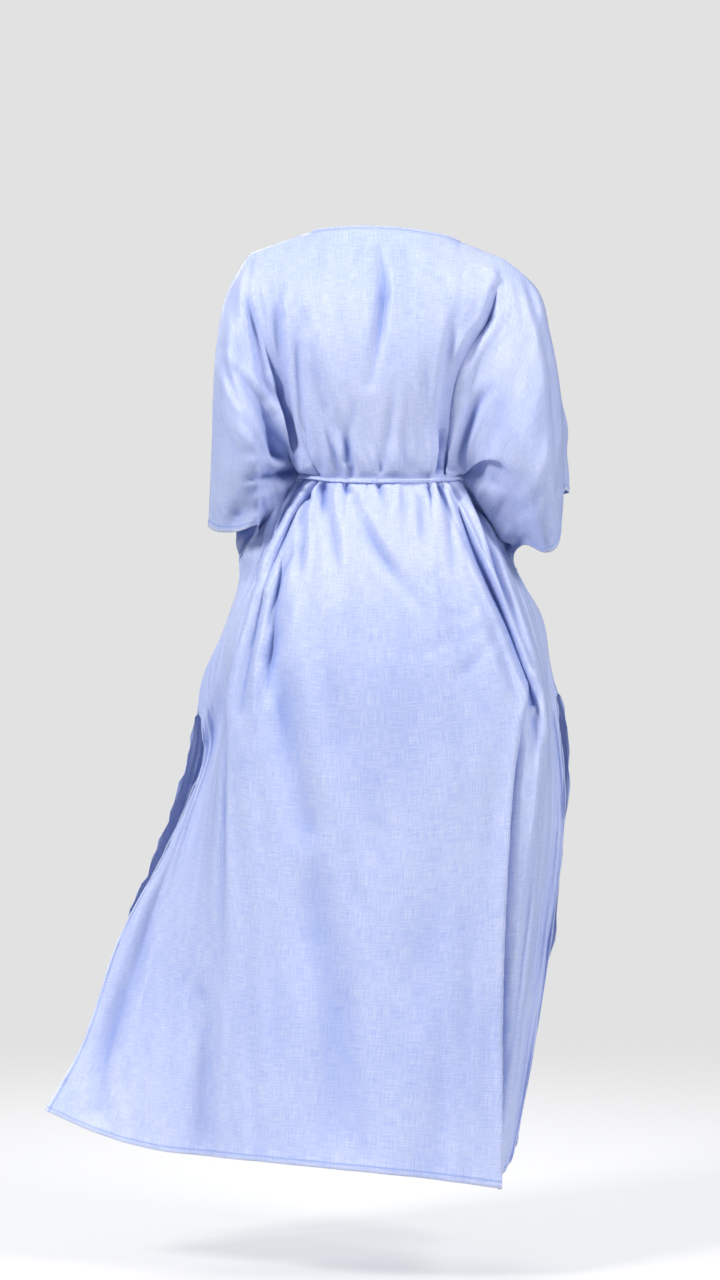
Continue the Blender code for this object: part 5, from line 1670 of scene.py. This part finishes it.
def hang_backdrop(studio):
    """Paper where the camera looks, a cooler and weaker glow for the light from all round."""
    world = bpy.data.worlds.new("studio_backdrop")
    world.use_nodes = True
    nodes, links = world.node_tree.nodes, world.node_tree.links
    paper = nodes["Background"]
    paper.inputs["Color"].default_value = tuple(studio.paper)
    glow = nodes.new("ShaderNodeBackground")
    glow.inputs["Color"].default_value = tuple(studio.shade)
    glow.inputs["Strength"].default_value = studio.ambient
    either = nodes.new("ShaderNodeMixShader")
    seen = nodes.new("ShaderNodeLightPath")
    links.new(seen.outputs["Is Camera Ray"], either.inputs[0])
    links.new(glow.outputs[0], either.inputs[1])
    links.new(paper.outputs[0], either.inputs[2])
    links.new(either.outputs[0], nodes["World Output"].inputs[0])
    bpy.context.scene.world = world


def add_lamps(studio):
    """The soft lamps, all turned to the garment's middle."""
    for name, power, size, place in LAMPS:
        lamp = bpy.data.lights.new(name, "AREA")
        lamp.energy = getattr(studio, power)
        lamp.color = LAMP_COLOUR
        lamp.size = size
        stand = bpy.data.objects.new(name, lamp)
        stand.location = place
        stand.rotation_euler = (LAMP_AIM - Vector(place)).to_track_quat("-Z", "Y").to_euler()
        bpy.context.scene.collection.objects.link(stand)


def add_camera():
    """The camera that matches the picture."""
    camera = bpy.data.cameras.new("picture_camera")
    camera.lens = LENS_MM
    camera.sensor_width = SENSOR_MM
    stand = bpy.data.objects.new("picture_camera", camera)
    stand.location = (CAMERA_X, CAMERA_AWAY, CAMERA_Z)
    stand.rotation_euler = (math.pi / 2, 0.0, math.pi)
    bpy.context.scene.collection.objects.link(stand)
    bpy.context.scene.camera = stand


class KAFTAN_OT_studio(bpy.types.Operator):
    """Lays the pale floor, hangs the backdrop and the soft lamps and sets up the camera."""

    bl_idname = "kaftan.studio"
    bl_label = "Studio"

    def execute(self, context):
        studio = context.scene.kaftan_studio
        context.scene.view_settings.view_transform = "Standard"
        add_floor(studio)
        hang_backdrop(studio)
        add_lamps(studio)
        add_camera()
        return {"FINISHED"}


class KAFTAN_PT_pieces(bpy.types.Panel):
    """Lists the pieces of the kaftan in the sidebar."""

    bl_label = "Kaftan"
    bl_space_type = "VIEW_3D"
    bl_region_type = "UI"
    bl_category = "Kaftan"

    def draw(self, context):
        for group_name, _ in GROUPS:
            group = getattr(context.scene, group_name)
            box = self.layout.box()
            for name in group.bl_rna.properties.keys():
                if name not in ("rna_type", "name"):
                    box.prop(group, name)
        for operator in OPERATORS:
            self.layout.operator(operator.bl_idname)


GROUPS = (("kaftan_cloth", KaftanCloth), ("kaftan_trim", KaftanTrim), ("kaftan_studio", KaftanStudio))
OPERATORS = (KAFTAN_OT_studio, KAFTAN_OT_panels, KAFTAN_OT_binding, KAFTAN_OT_tie, KAFTAN_OT_stitching)


def register():
    for name, group in GROUPS:
        bpy.utils.register_class(group)
        setattr(bpy.types.Scene, name, PointerProperty(type=group))
    for operator in OPERATORS:
        bpy.utils.register_class(operator)
    bpy.utils.register_class(KAFTAN_PT_pieces)


def unregister():
    bpy.utils.unregister_class(KAFTAN_PT_pieces)
    for operator in reversed(OPERATORS):
        bpy.utils.unregister_class(operator)
    for name, group in reversed(GROUPS):
        delattr(bpy.types.Scene, name)
        bpy.utils.unregister_class(group)


def main():
    register()
    bpy.ops.kaftan.studio()
    bpy.ops.kaftan.panels()
    bpy.ops.kaftan.binding()
    bpy.ops.kaftan.tie()
    bpy.ops.kaftan.stitching()


if __name__ == "__main__":
    main()
